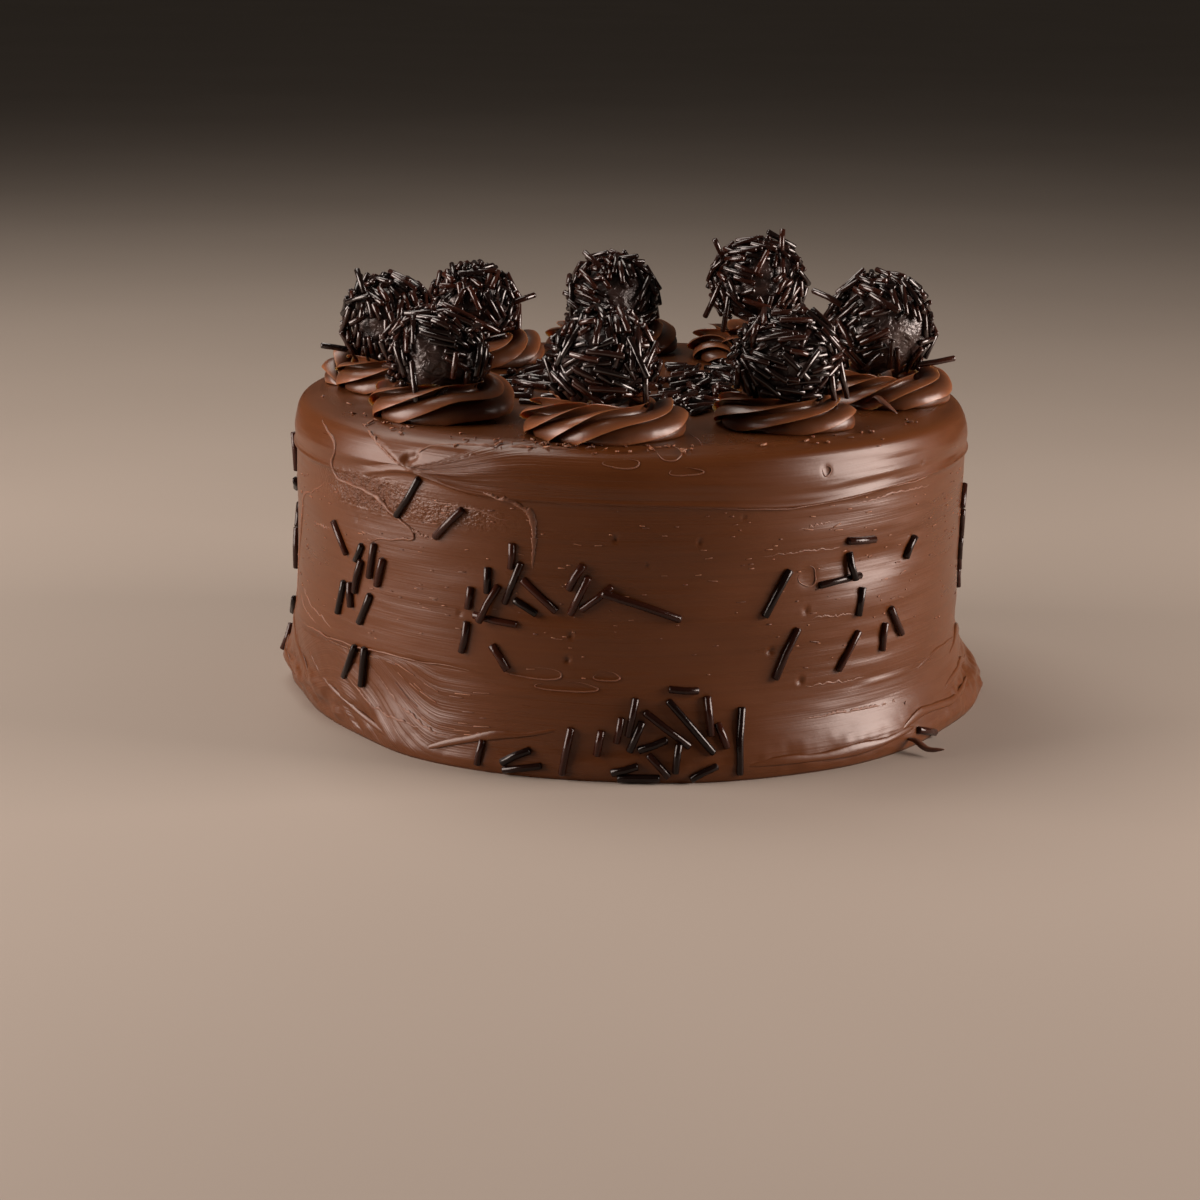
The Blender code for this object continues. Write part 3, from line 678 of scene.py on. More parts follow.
def rosette_grid(name, middle, radius, tail, seed, turns=270, sides=140):
    """Points of the rope: rows along the spiral, columns round the tube."""
    t = np.linspace(0.0, 1.0, turns)
    turn = math.radians(tail) - TAU * SPIRAL_TURNS * (1.0 - t)
    end = fade((1.0 - t) / 0.10) ** 0.5
    size = np.maximum(end * fade(t / 0.05) ** 0.5, 0.03)
    size = size * (1.0 + 0.07 * lattice_noise([t * 9.0], seed))
    outer = radius * MM - ROPE_WIDTH
    opening = fade(t * SPIRAL_TURNS / 0.42)
    centre_line = outer * (0.45 + 0.55 * opening) - 0.5 * TAIL_STEP * (1.0 - t) + 0.6 * MM * (1.0 - end)
    part = np.arange(sides) / sides * RIDGES
    part = part - LIP_CROWDING * np.sin(TAU * part)
    number, within = np.floor(part + 1e-9), part % 1.0
    factor, lean = star_section(within)
    uneven = 1.0 + 0.3 * lattice_noise([number[None, :] * 3.7 + 5.0, (t * 10.0)[:, None]], seed + 20)
    wavy = 0.012 * lattice_noise([part[None, :] * 2.0 + 5.0, (t * 60.0)[:, None]], seed + 40)
    factor = 1.0 - (1.0 - factor[None, :]) * uneven + wavy
    slide = RIDGE_STARTS[name] + 0.6 * lattice_noise([t * 7.0], seed + 60)
    climb = (RIDGE_CLIMB * turn / RIDGES + TAU * slide / RIDGES)[:, None]
    around = TAU * (part + lean)[None, :] / RIDGES + climb
    out = centre_line[:, None] + ROPE_WIDTH * size[:, None] * factor * np.cos(around)
    up = ROPE_RISE * ROPE_HEIGHTS[name] * size[:, None] * (ROPE_BED + factor * np.sin(around))
    up = np.maximum(up, 0.0)
    x = middle[0] + out * np.cos(turn)[:, None]
    y = middle[1] + out * np.sin(turn)[:, None]
    z = middle[2] + up - shoulder_drop(np.hypot(x, y))
    lip = np.exp(-np.minimum(within, 1.0 - within) / 0.07)
    return np.stack([x, y, z], axis=-1), np.broadcast_to(lip, x.shape)


def hollow_out(grid, centre, reach):
    """Push every point that lies inside a ball out to its surface, along the line from its centre."""
    offset = grid - centre
    distance = np.linalg.norm(offset, axis=-1, keepdims=True)
    return centre + offset * np.maximum(1.0, reach / distance)


def make_rosettes():
    """One rosette for each place, hollowed where the fudge ball sits in it."""
    pieces = []
    for k, (name, azimuth, ring, radius, ball_height, ball_radius, tail) in enumerate(PLACES):
        middle = over_the_ring(azimuth, ring, CAKE_HEIGHT)
        grid, lip = rosette_grid(name, middle, radius, tail, 100 + k)
        centre = over_the_ring(azimuth, ring, ball_height * MM)
        grid = hollow_out(grid, centre, (ball_radius - PRESSED_IN) * MM)
        pieces.append(closed_skin("piped_rosette_" + name, grid, {"lip": lip}))
    return pieces


rosettes = make_rosettes()
print("rosettes:", len(rosettes), "of", len(rosettes[0].data.polygons), "faces each")


# %% [markdown]
# ## Fudge balls
# A spoonful of cooked chocolate fudge is rolled between buttered palms, so it is round but lumpy, with
# a sticky, finely wrinkled skin. The ball is a globe of rows and columns whose radius is changed by
# noise of three sizes: the palm's flats, the fingers' dents and the fudge's own grain.

# %% Lumpy balls
# How far the fudge lies under the radius that its coat is measured by
FUDGE_INSET = 1.2 * MM


def ball_grid(centre, radius, seed, rows=56, columns=96):
    """A globe whose radius shrinks by up to a tenth where three sizes of noise are low."""
    polar = np.linspace(0.03, np.pi - 0.03, rows)[:, None]
    turn = (TAU * np.arange(columns) / columns)[None, :]
    flat, rise = np.sin(polar), -np.cos(polar) + 0.0 * turn
    away = np.stack([flat * np.cos(turn), flat * np.sin(turn), rise], axis=-1)
    spots = [away[..., k] * radius / MM + 40.0 for k in range(3)]
    lumps = 0.0
    for cell, amount in ((9.0, 0.8), (3.6, 0.5), (1.7, 0.28)):
        lumps = lumps + amount * lattice_noise([axis / cell for axis in spots], seed)
    return centre + away * (radius - FUDGE_INSET + lumps * MM)[..., None]


def make_balls():
    """One ball of fudge for each place."""
    pieces = []
    for k, (name, azimuth, ring, _, ball_height, ball_radius, _) in enumerate(PLACES):
        centre = over_the_ring(azimuth, ring, ball_height * MM)
        pieces.append(closed_skin("fudge_ball_" + name, ball_grid(centre, ball_radius * MM, 200 + k)))
    return pieces


balls = make_balls()
print("fudge balls:", len(balls), "of", len(balls[0].data.polygons), "faces each")


# %% [markdown]
# ## Sprinkles
# Chocolate sprinkles are extruded strands broken into short rods, so they are round in section, straight
# or slightly bent, with rounded broken ends, and no two are the same length. One small rod with a few
# dozen faces is worked out once, and arrays of places, directions and lengths turn it into thousands.

# %% Many rods from one template
ROD_SIDES = 7
# Place along the rod and girth of each ring: blunt broken ends with a small rounded rim
ROD_ROWS = ((-1.0, 0.72), (-0.95, 1.0), (0.0, 1.0), (0.95, 1.0), (1.0, 0.72))


def rods_mesh(name, middles, directions, lengths, thickness, bends, tones):
    """All rods as one mesh: along, side and out are each rod's own axes, and its middle bows out."""
    along = directions / np.linalg.norm(directions, axis=1, keepdims=True)
    helper = np.where(np.abs(along[:, 2:]) < 0.9, [[0.0, 0.0, 1.0]], [[1.0, 0.0, 0.0]])
    side = np.cross(along, helper)
    side /= np.linalg.norm(side, axis=1, keepdims=True)
    out = np.cross(side, along)
    turn = TAU * np.arange(ROD_SIDES) / ROD_SIDES
    place, girth = np.array(ROD_ROWS).T
    bow = bends[:, None, None] * (1.0 - place[None, :, None] ** 2)
    radius = 0.5 * thickness[:, None, None] * girth[None, :, None]
    reach = 0.5 * lengths[:, None, None] * place[None, :, None]
    ring = middles[:, None, None] + along[:, None, None] * reach[..., None]
    ring = ring + side[:, None, None] * (radius * np.cos(turn))[..., None]
    ring = ring + out[:, None, None] * (radius * np.sin(turn) + bow)[..., None]
    count = len(middles)
    ends = middles[:, None] + along[:, None] * (0.5 * lengths[:, None] * np.array([-1.0, 1.0]))[..., None]
    points = np.concatenate([ring.reshape(count, -1, 3), ends], axis=1)
    quads, fans = skin_faces(len(ROD_ROWS), ROD_SIDES)
    shift = (np.arange(count) * points.shape[1])[:, None, None]
    tone = np.repeat(tones, points.shape[1])
    return build_mesh(name, points.reshape(-1, 3), (quads[None] + shift).reshape(-1, 4),
                      (fans[None] + shift).reshape(-1, 3), {"tone": tone})


# %% [markdown]
# ### Letting rods settle
# Scattered rods would pass through each other. So each rod is treated as two points a fixed length
# apart, and all rods are moved together in small steps: a pull towards what they fall on, a push that
# keeps them out of it, and a push between each two rods whose axes come closer than their thickness.
# A few dozen steps leave them lying on each other, tilted as real ones are.

# %% Settle rods on each other
def closest_places(first, second):
    """For pairs of rods, places from 0 to 1 along each where their axes come closest: the two lines'
    common normal, with each place held to its rod in turn."""
    u, v, w = first[:, 1] - first[:, 0], second[:, 1] - second[:, 0], first[:, 0] - second[:, 0]
    uu, vv, uv = (u * u).sum(1), (v * v).sum(1), (u * v).sum(1)
    uw, vw = (u * w).sum(1), (v * w).sum(1)
    s = np.clip((uv * vw - vv * uw) / np.maximum(uu * vv - uv * uv, 1e-16), 0.0, 1.0)
    t = np.clip((uv * s + vw) / vv, 0.0, 1.0)
    return np.clip((uv * t - uw) / uu, 0.0, 1.0), t


def push_apart(ends, thickness):
    """Move both rods of every pair that overlaps, each end by its share in the touching place."""
    first, second = np.triu_indices(len(ends), 1)
    near = np.linalg.norm(ends[first].mean(1) - ends[second].mean(1), axis=1) < 16.0 * MM
    first, second = first[near], second[near]
    s, t = closest_places(ends[first], ends[second])
    weights = np.stack([1.0 - s, s, t - 1.0, -t], axis=1)
    corners = np.concatenate([ends[first], ends[second]], axis=1)
    apart = (weights[..., None] * corners).sum(1)
    distance = np.linalg.norm(apart, axis=1)
    overlap = 0.5 * (thickness[first] + thickness[second]) - distance
    hit = overlap > 0.0
    share = overlap[hit] / (distance[hit] + 1e-9) / (weights[hit] ** 2).sum(1)
    push = 0.45 * weights[hit][..., None] * (share[:, None] * apart[hit])[:, None]
    np.add.at(ends, first[hit], push[:, :2])
    np.add.at(ends, second[hit], push[:, 2:])


def settle(ends, thickness, carry, steps=70):
    """Ends of all rods, rods x 2 x 3, after the steps. carry pulls each rod towards what it falls on
    and keeps it out of that. After each step a rod is brought back to its own length."""
    ends = ends.copy()
    length = np.linalg.norm(ends[:, 1] - ends[:, 0], axis=1)
    for _ in range(steps):
        push_apart(ends, thickness)
        carry(ends)
        span = ends[:, 1] - ends[:, 0]
        middle = ends.mean(1)
        span = span * (0.5 * length / np.linalg.norm(span, axis=1))[:, None]
        ends = np.stack([middle - span, middle + span], axis=1)
    return ends


def on_a_ball(centre, reach, pull=0.022):
    """A carry for rods round a ball: no nearer to its centre than reach, and towards it by a share of
    each end's height over the ball, which lays down a rod that stands up."""
    def carry(ends):
        offset = ends - centre
        distance = np.linalg.norm(offset, axis=-1, keepdims=True)
        ends -= pull * np.maximum(distance - reach, 0.0) * offset / distance
        span, start = ends[:, 1] - ends[:, 0], ends[:, 0] - centre
        place = np.clip(-(start * span).sum(1) / (span * span).sum(1), 0.0, 1.0)
        nearest = start + place[:, None] * span
        distance = np.linalg.norm(nearest, axis=1)
        ends += (nearest * (np.maximum(reach / distance, 1.0) - 1.0)[:, None])[:, None]
    return carry


def on_the_top(height, pull=0.12 * MM):
    """A carry for rods on a level surface: down, and no lower than height."""
    def carry(ends):
        ends[..., 2] = np.maximum(ends[..., 2] - pull, height)
    return carry


def on_the_wall(radii, pull=0.08 * MM):
    """A carry for rods on the wall: towards the axis, and no nearer than each end's own radius."""
    def carry(ends):
        distance = np.hypot(ends[..., 0], ends[..., 1])
        wanted = np.maximum(distance - pull, radii)
        ends[..., :2] *= (wanted / distance)[..., None]
    return carry


# %% [markdown]
# ### Sprinkles on the balls
# A ball is rolled in a bowl of sprinkles, which stick to it in every direction, in one to two layers,
# many of them side by side, with a few standing out and bare patches where the ball was handled. Even
# spots on a globe come from the golden-angle spiral, shifted a little. Each rod lies along the way of
# the nearest of a few patches, or any way at all, and then the rods settle on the ball.

# %% Coat the balls
# Bare patches of each ball: azimuth and elevation of the middle, and reach, in degrees
BARE_PATCHES = {"3": ((-14, -2, 32), (24, -26, 16)), "8": ((34, -4, 27),), "4": ((24, 12, 26),),
                "1": ((-20, 5, 18),), "2": ((10, 0, 14),), "6": ((2, 8, 16),)}
# Rods that stand out: the ball, azimuth and elevation of the foot, lean out from the surface, turn from
# straight up, all in degrees, and the length in mm
STRAY_RODS = (
    ("6", -62, 34, 62, 0, 8), ("6", -52, 4, 10, 200, 13), ("6", -38, -8, 8, 190, 13),
    ("1", -76, -30, 50, 0, 9), ("8", 58, -38, 30, 45, 12), ("8", -55, 26, 24, -80, 12),
    ("3", -24, 4, 8, 166, 13), ("3", 15, -24, 24, 236, 12), ("7", 50, -8, 8, 164, 12),
    ("7", 66, 4, 6, 168, 12), ("5", 32, 34, 2, 172, 14), ("5", 48, -4, 2, 172, 11),
    ("4", -20, 50, 20, -60, 9), ("2", 62, 12, 34, 80, 9), ("6", 40, 48, 30, 20, 8),
    ("1", -40, 44, 24, -40, 9),
)
ROD_THICKNESS = 1.9 * MM
COAT_COUNT = 185
PATCHES = 8
# Share of the rods that lie any way at all, and how far the coat is pressed into the fudge
LOOSE_SHARE = 0.28
COAT_SINK = 0.9 * MM
# No rod sticks below this height, in radii from the ball's middle: the rosette is there
LOWEST_ROD = -0.62


def even_directions(count, draw):
    """Unit vectors spread evenly over a globe by the golden angle, each nudged at random."""
    k = np.arange(count) + 0.5
    rise = 1.0 - 2.0 * k / count
    turn = np.pi * (1.0 + 5.0 ** 0.5) * k
    flat = np.sqrt(1.0 - rise ** 2)
    away = np.stack([flat * np.cos(turn), flat * np.sin(turn), rise], axis=-1)
    away = away + draw.normal(0.0, 0.06, away.shape)
    return away / np.linalg.norm(away, axis=1, keepdims=True)


def patch_directions(away, draw):
    """Directions in the surface: the nearest patch's way for most rods, any way for the others."""
    centres = even_directions(PATCHES, draw)
    ways = draw.normal(0.0, 1.0, (PATCHES, 3))
    nearest = (away @ centres.T).argmax(1)
    flow = ways[nearest]
    flow = flow - away * (flow * away).sum(1, keepdims=True)
    flow = flow / np.linalg.norm(flow, axis=1, keepdims=True)
    loose = draw.random(len(away)) < LOOSE_SHARE
    spin = np.where(loose, draw.uniform(-1.6, 1.6, len(away)), draw.normal(0.0, 0.2, len(away)))
    return flow * np.cos(spin)[:, None] + np.cross(away, flow) * np.sin(spin)[:, None]


def stray_ends(name, centre, reach):
    """Ends of the rods that stand out: one end on the ball, the other lifted by the lean."""
    ends = []
    for ball, azimuth, elevation, lean, turn, length in STRAY_RODS:
        if ball == name:
            away = towards(azimuth, elevation)
            side = outward(azimuth + 90.0)
            up = np.cross(away, side)
            along = np.cos(np.radians(turn)) * up + np.sin(np.radians(turn)) * side
            along = np.cos(np.radians(lean)) * along + np.sin(np.radians(lean)) * away
            foot = centre + away * (reach + 1.2 * ROD_THICKNESS)
            ends.append((foot, foot + along * length * MM))
    return np.array(ends).reshape(-1, 2, 3)


def coat_ball(name, centre, radius, seed):
    """The coat of one ball, as the settled rods' middles, spans, lengths, thickness, bends and tones."""
    draw = np.random.default_rng(seed)
    away = even_directions(COAT_COUNT, draw)
    keep = away[:, 2] > LOWEST_ROD
    for azimuth, elevation, reach in BARE_PATCHES.get(name, ()):
        keep &= away @ towards(azimuth, elevation) < math.cos(math.radians(reach))
    away = away[keep]
    count = len(away)
    length = draw.uniform(5.0, 12.0, count) * MM
    lift = radius + ROD_THICKNESS * draw.uniform(0.4, 1.7, count)
    along = patch_directions(away, draw) + away * draw.normal(0.0, 0.03, count)[:, None]
    middle = centre + away * lift[:, None]
    half = 0.5 * length[:, None] * along / np.linalg.norm(along, axis=1, keepdims=True)
    ends = np.stack([middle - half, middle + half], axis=1)
    thickness = ROD_THICKNESS * draw.uniform(0.92, 1.1, count)
    reach = radius - COAT_SINK + 0.5 * ROD_THICKNESS
    ends = settle(ends, thickness, on_a_ball(centre, reach))
    ends = np.concatenate([ends, stray_ends(name, centre, reach)])
    span = ends[:, 1] - ends[:, 0]
    count = len(ends)
    thickness = np.concatenate([thickness, np.full(count - len(thickness), 1.05 * ROD_THICKNESS)])
    bends = draw.normal(0.0, 0.12, count) * MM
    return ends.mean(1), span, np.linalg.norm(span, axis=1), thickness, bends, draw.random(count)


def make_coats():
    """One mesh of sprinkles for each ball."""
    pieces = []
    for k, (name, azimuth, ring, _, ball_height, ball_radius, _) in enumerate(PLACES):
        centre = over_the_ring(azimuth, ring, ball_height * MM)
        coat = coat_ball(name, centre, ball_radius * MM, 300 + k)
        pieces.append(rods_mesh("ball_sprinkles_" + name, *coat))
    return pieces


coats = make_coats()
print("coats:", sum(len(coat.data.polygons) for coat in coats), "faces in all")


# %% [markdown]
# ### Sprinkles on the wall and the top
# A handful was pressed onto the wall while it was soft, so these lie in bunches, mostly upright, a third
# of their thickness sunk in. The front bunches are placed one by one as the cake shows them. The others
# follow the same seeded rule as the solids, so each rod covers the solid's own.

# %% Places of the wall's sprinkles: azimuth, height in mm, lean in degrees, length in mm
FRONT_BUNCHES = (
    ((-37, 81, -35, 16), (-29, 75, -45, 14)),
    ((-54, 63, 40, 12), (-48, 60, -30, 7), (-45, 59, -15, 12), (-49, 53, -15, 12),
     (-43, 56, -20, 10), (-54, 44, -20, 12), (-51, 46, 5, 8), (-47, 43, -30, 12)),
    ((-52, 24, -35, 15), (-48, 24, -15, 14)),
    ((-18, 67, 5, 8), (-18, 59, -20, 14), (-22, 59, 5, 8), (-25, 53, 0, 7), (-22, 52, -25, 13),
     (-14, 56, 50, 14), (-16, 52, 60, 8), (-21, 48, 80, 14), (-26, 41, -10, 10),
     (-20, 36, 35, 9)),
    ((-8, 62, -30, 9), (-7, 56, -20, 13), (-5, 56, -60, 12), (2, 54, 70, 25)),
    ((24, 56, -30, 16), (40, 69, 85, 12), (38, 61, 10, 9), (36, 58, 95, 17), (40, 50, -10, 9),
     (53, 63, -40, 8), (49, 41, 35, 12), (46, 37, -5, 9), (38, 35, -35, 14), (26, 37, -25, 17)),
    ((-23, 6, -10, 8), (-17, 6, -60, 10), (-16, 3, -80, 12), (-9, 9, -10, 15), (9, 28, 85, 9),
     (1, 20, -10, 12), (-1, 16, -10, 8), (2, 14, -15, 10), (-4, 12, -10, 8), (13, 20, 5, 12),
     (10, 17, 40, 21), (6, 16, 50, 17), (15, 14, 20, 8), (18, 12, -5, 20), (4, 12, -70, 9),
     (8, 8, -10, 9), (5, 6, 40, 9), (0, 4, -70, 8), (2, 2, 88, 12), (12, 3, -60, 9)),
    ((56, 3, 70, 12),),
    ((-88, 78, 0, 13), (-86, 68, -60, 8), (-90, 56, 40, 9), (-87, 46, 5, 14), (-86, 27, -50, 10),
     (-90, 14, 0, 9)),
    ((82, 69, -45, 9), (84, 59, 15, 10), (83, 51, 15, 8), (86, 47, -5, 9), (88, 40, 0, 9)),
)
FAR_BUNCHES = ((108, 62, 3), (124, 38, 4), (150, 14, 4), (166, 54, 4), (196, 40, 3), (214, 12, 3),
               (226, 60, 3), (248, 36, 3))
TOP_DRIFTS = ((18, -38, 9, 6), (22, 6, 12, 5), (-24, -20, 10, 4), (-6, 30, 14, 4))
# Deeper heaps on the top: x and y of the middle, spread in x and y, all in mm, and the count
TOP_HEAPS = ((22, -8, 6, 12, 26), (26, 28, 7, 12, 20), (-31, 6, 5, 14, 22), (-28, 40, 6, 9, 14),
             (18, -36, 7, 7, 16))
# How far from the axis the strewn rods and the heaped ones may lie
STREWN_REACH = 44.0 * MM
TOP_REACH = 47.0 * MM
# Thickness of a rod on the top, of one on the wall, and how close two on the wall may come
TOP_ROD = 2.1 * MM
WALL_ROD = 2.4 * MM
WALL_APART = 2.2 * MM
WALL_SINK = 0.5 * MM


def wall_places(draw):
    """Every rod on the wall: the front bunches, then the far ones by the seeded rule."""
    places = [place for bunch in FRONT_BUNCHES for place in bunch]
    for azimuth, height, count in FAR_BUNCHES:
        for _ in range(count):
            places.append((azimuth + draw.gauss(0.0, 4.0), max(3.0, height + draw.gauss(0.0, 7.0)),
                           draw.gauss(0.0, 40.0), draw.uniform(8.0, 15.0)))
    return np.array(places)


def wall_rods(draw):
    """Ends of rods whose two ends lie on the wall, settled on each other where they cross."""
    azimuth, height, lean, length = wall_places(draw).T
    half, lean, ends = 0.5 * length * MM, np.radians(lean), []
    for sign in (-1.0, 1.0):
        z = np.maximum(height * MM - sign * half * np.cos(lean), 0.5 * TOP_ROD + 0.4 * MM)
        turn = azimuth + np.degrees(sign * half * np.sin(lean) / CAKE_RADIUS)
        ends.append(wall_point(turn, z, WALL_SINK))
    ends = np.stack(ends, axis=1)
    radii = np.hypot(ends[..., 0], ends[..., 1])
    ends[..., :2] *= 1.0 + np.linspace(0.0, 0.04, len(ends))[:, None, None]
    return settle(ends, np.full(len(ends), WALL_APART), on_the_wall(radii), 60)


def flat_rods(draw):
    """Middles, directions and lengths of the rods strewn on the flat top."""
    middles, directions, lengths = [], [], []
    for x, y, spread, count in TOP_DRIFTS:
        for _ in range(count):
            spot = np.array([x + draw.gauss(0.0, spread), y + draw.gauss(0.0, spread), 0.0]) * MM
            spot *= min(1.0, STREWN_REACH / max(np.linalg.norm(spot), 1e-9))
            angle = draw.uniform(0.0, math.pi)
            middles.append(spot)
            directions.append((math.cos(angle), math.sin(angle), 0.0))
            lengths.append(draw.uniform(8.0, 13.0) * MM)
    return np.array(middles), np.array(directions), np.array(lengths)


def heaped_rods(draw):
    """Middles, directions and lengths of the rods in the heaps, each a little higher than the last."""
    middles, directions, lengths = [], [], []
    for x, y, wide, deep, count in TOP_HEAPS:
        spots = np.array([x, y, 0.0]) + draw.normal(0.0, 1.0, (count, 3)) * [wide, deep, 0.0]
        spots[:, 2] = 2.0 + 10.0 * np.arange(count) / count
        turn = draw.uniform(0.0, np.pi, count)
        middles.append(spots * MM)
        directions.append(np.stack([np.cos(turn), np.sin(turn), draw.normal(0.0, 0.15, count)], axis=1))
        lengths.append(draw.uniform(6.0, 13.0, count) * MM)
    return np.concatenate(middles), np.concatenate(directions), np.concatenate(lengths)


def top_rods(draw, heap_draw):
    """Ends of all rods on the top: the strewn ones lie lowest, and the heaps settle over them."""
    pairs = zip(flat_rods(draw), heaped_rods(heap_draw))
    middle, along, length = [np.concatenate(pair) for pair in pairs]
    away = np.hypot(middle[:, 0], middle[:, 1])
    middle[:, :2] *= np.minimum(1.0, TOP_REACH / np.maximum(away, 1e-9))[:, None]
    middle[:, 2] += CAKE_HEIGHT + 0.5 * TOP_ROD
    half = 0.5 * length[:, None] * along / np.linalg.norm(along, axis=1, keepdims=True)
    ends = np.stack([middle - half, middle + half], axis=1)
    thickness = np.full(len(ends), TOP_ROD)
    return settle(ends, thickness, on_the_top(CAKE_HEIGHT + 0.35 * TOP_ROD), 130)


def rods_between(name, ends, thickness, draw, bend):
    """A mesh of rods between pairs of ends, with random bends and tones."""
    span, count = ends[:, 1] - ends[:, 0], len(ends)
    bends = draw.normal(0.0, bend, count)
    lengths = np.linalg.norm(span, axis=1)
    return rods_mesh(name, ends.mean(1), span, lengths, thickness, bends, draw.random(count))


# %% Make the wall's and the top's sprinkles
solid_draw = random.Random(11)
looks_draw = np.random.default_rng(12)
ends = wall_rods(solid_draw)
thickness = WALL_ROD * looks_draw.uniform(0.92, 1.06, len(ends))
wall_sprinkles = rods_between("wall_sprinkles", ends, thickness, looks_draw, 0.2 * MM)
print("sprinkles on the wall:", len(ends), "of", len(wall_sprinkles.data.polygons), "faces in all")
ends = top_rods(solid_draw, looks_draw)
thickness = TOP_ROD * looks_draw.uniform(0.94, 1.08, len(ends))
top_sprinkles = rods_between("top_sprinkles", ends, thickness, looks_draw, 0.15 * MM)
print("sprinkles on the top:", len(ends), "of", len(top_sprinkles.data.polygons), "faces in all")


# %% [markdown]
# ## Torn bits, crumbs and shavings
# A knife drags open the air bubbles in stiff frosting, and each leaves a short torn edge, painted lighter
# as a highlight where it catches the light. Crumbs of dried frosting fell on the rim below the rosettes.
# Both are hundreds of tiny rods, flattened by lying half in the frosting. A few larger shavings and curls
# are lips swept along a path.

# %% Torn bubble edges, crumbs and curls
TEAR_COUNT = 260
SWING_TEARS = 45
CRUMB_COUNT = 90
# Places along each, then its width and thickness, all in mm: a thin shaving and a torn tag on the rim,
# and two thicker curls at the foot
CURLS = (
    (((17.5, -88.5, 101.8), (19.0, -92.0, 101.5), (20.5, -95.5, 101.0), (21.8, -98.5, 99.2)), 0.5, 0.25),
    (((73.0, -32.0, 101.5), (77.0, -34.5, 104.5), (80.0, -38.0, 103.0), (84.0, -40.0, 100.0)), 2.6, 0.5),
    (((86.5, -71.0, 3.0), (90.0, -74.5, 3.5), (93.5, -79.5, 2.2), (98.5, -82.5, 3.0)), 2.6, 1.0),
    (((86.2, -69.0, 4.0), (86.8, -69.6, 8.0), (86.6, -69.9, 12.0), (87.0, -70.0, 15.0)), 1.0, 0.5),
)


def torn_edges(draw):
    """Short level rods all over the wall, thinned out at the back and kept off the foot."""
    seen, hidden = draw.uniform(-75.0, 80.0, TEAR_COUNT), draw.uniform(80.0, 285.0, TEAR_COUNT // 2)
    azimuth = np.concatenate([seen, hidden])
    height = draw.beta(1.6, 1.3, len(azimuth)) * 52.0 + 31.0
    length = draw.uniform(0.6, 3.2, len(azimuth)) * draw.random(len(azimuth))
    half = np.degrees(0.5 * (length + 0.5) * MM / CAKE_RADIUS)
    slope = draw.normal(0.0, 0.12, len(azimuth)) * length
    low = draw.uniform(-62.0, -22.0, SWING_TEARS)
    level = draw.uniform(9.0, 24.0, SWING_TEARS)
    reach = draw.uniform(0.4, 1.8, SWING_TEARS)
    sides = []
    for sign in (-1.0, 1.0):
        wall = wall_point(azimuth + sign * half, (height + 0.5 * sign * slope) * MM, 0.04 * MM)
        turn = low + sign * reach
        swung = wall_point(turn, np.minimum(level + swing_curve(turn), 28.0) * MM, 0.04 * MM)
        sides.append(np.concatenate([wall, swung]))
    return np.stack(sides, axis=1), draw.uniform(0.22, 0.42, len(azimuth) + SWING_TEARS) * MM


def crumbs(draw):
    """Short rods any way round on the rim in front, most of them below the rosettes."""
    azimuth = np.concatenate([draw.normal(-10.0, 9.0, CRUMB_COUNT // 2),
                              draw.normal(-50.0, 12.0, CRUMB_COUNT // 4),
                              draw.uniform(0.0, 75.0, CRUMB_COUNT // 4)])
    radius = draw.normal(102.5, 2.0, len(azimuth)) * MM
    spots = radius[:, None] * outward(azimuth)
    spots[:, 2] = CAKE_HEIGHT - shoulder_drop(radius) + 0.15 * MM
    turn = draw.uniform(0.0, np.pi, len(azimuth))
    half = 0.5 * draw.uniform(0.5, 2.4, len(azimuth)) * MM
    tilt = draw.normal(0.0, 0.2, len(azimuth))
    along = np.stack([np.cos(turn), np.sin(turn), tilt], axis=1) * half[:, None]
    return np.stack([spots - along, spots + along], axis=1), draw.uniform(0.3, 0.8, len(azimuth)) * MM


def curls():
    """Grids of the shavings and curls, each swept along its own path."""
    grids = []
    for places, width, thick in CURLS:
        path = smooth_path(np.array(places) * MM, 32)
        away = np.broadcast_to([0.35, -0.55, 0.75], path.shape)
        grids.append(swept_lip(path, away, width * MM, thick * MM, 0.2, 10))
    return grids


scrap_draw = np.random.default_rng(21)
tear_ends, tear_thickness = torn_edges(scrap_draw)
torn_bubbles = rods_between("torn_bubbles", tear_ends, tear_thickness, scrap_draw, 0.0)
crumb_ends, crumb_thickness = crumbs(scrap_draw)
rim_crumbs = rods_between("rim_crumbs", crumb_ends, crumb_thickness, scrap_draw, 0.0)
frosting_curls = join_skins("frosting_curls", curls())
print("torn edges:", len(tear_ends), "crumbs:", len(crumb_ends), "shavings and curls:", len(CURLS))


# %% [markdown]
# ## Materials
# One function turns the sRGB hex that a colour picker gives into the linear values that the shader
# wants, and one adds a node with its settings and links. Patterns read Object coordinates: metres on
# the cake, so a pattern's scale is one over its real size. Patterns are mixed by weighted sums.

# %% Helpers for materials
def linear(hex_colour):
    """sRGB hex to linear RGBA: each channel follows the sRGB curve."""
    channels = [int(hex_colour[k:k + 2], 16) / 255.0 for k in (1, 3, 5)]
    return [c / 12.92 if c <= 0.04045 else ((c + 0.055) / 1.055) ** 2.4 for c in channels] + [1.0]


def feed(tree, node, inputs):
    """Each input of a node, by name or number: linked to an output, or else set to a value."""
    for key, value in inputs.items():
        if isinstance(value, bpy.types.NodeSocket):
            tree.links.new(value, node.inputs[key])
        else:
            node.inputs[key].default_value = value


def add(tree, kind, inputs=None, **settings):
    """A new node with its settings, by property name, and its inputs."""
    node = tree.nodes.new(kind)
    for key, value in settings.items():
        setattr(node, key, value)
    feed(tree, node, inputs or {})
    return node


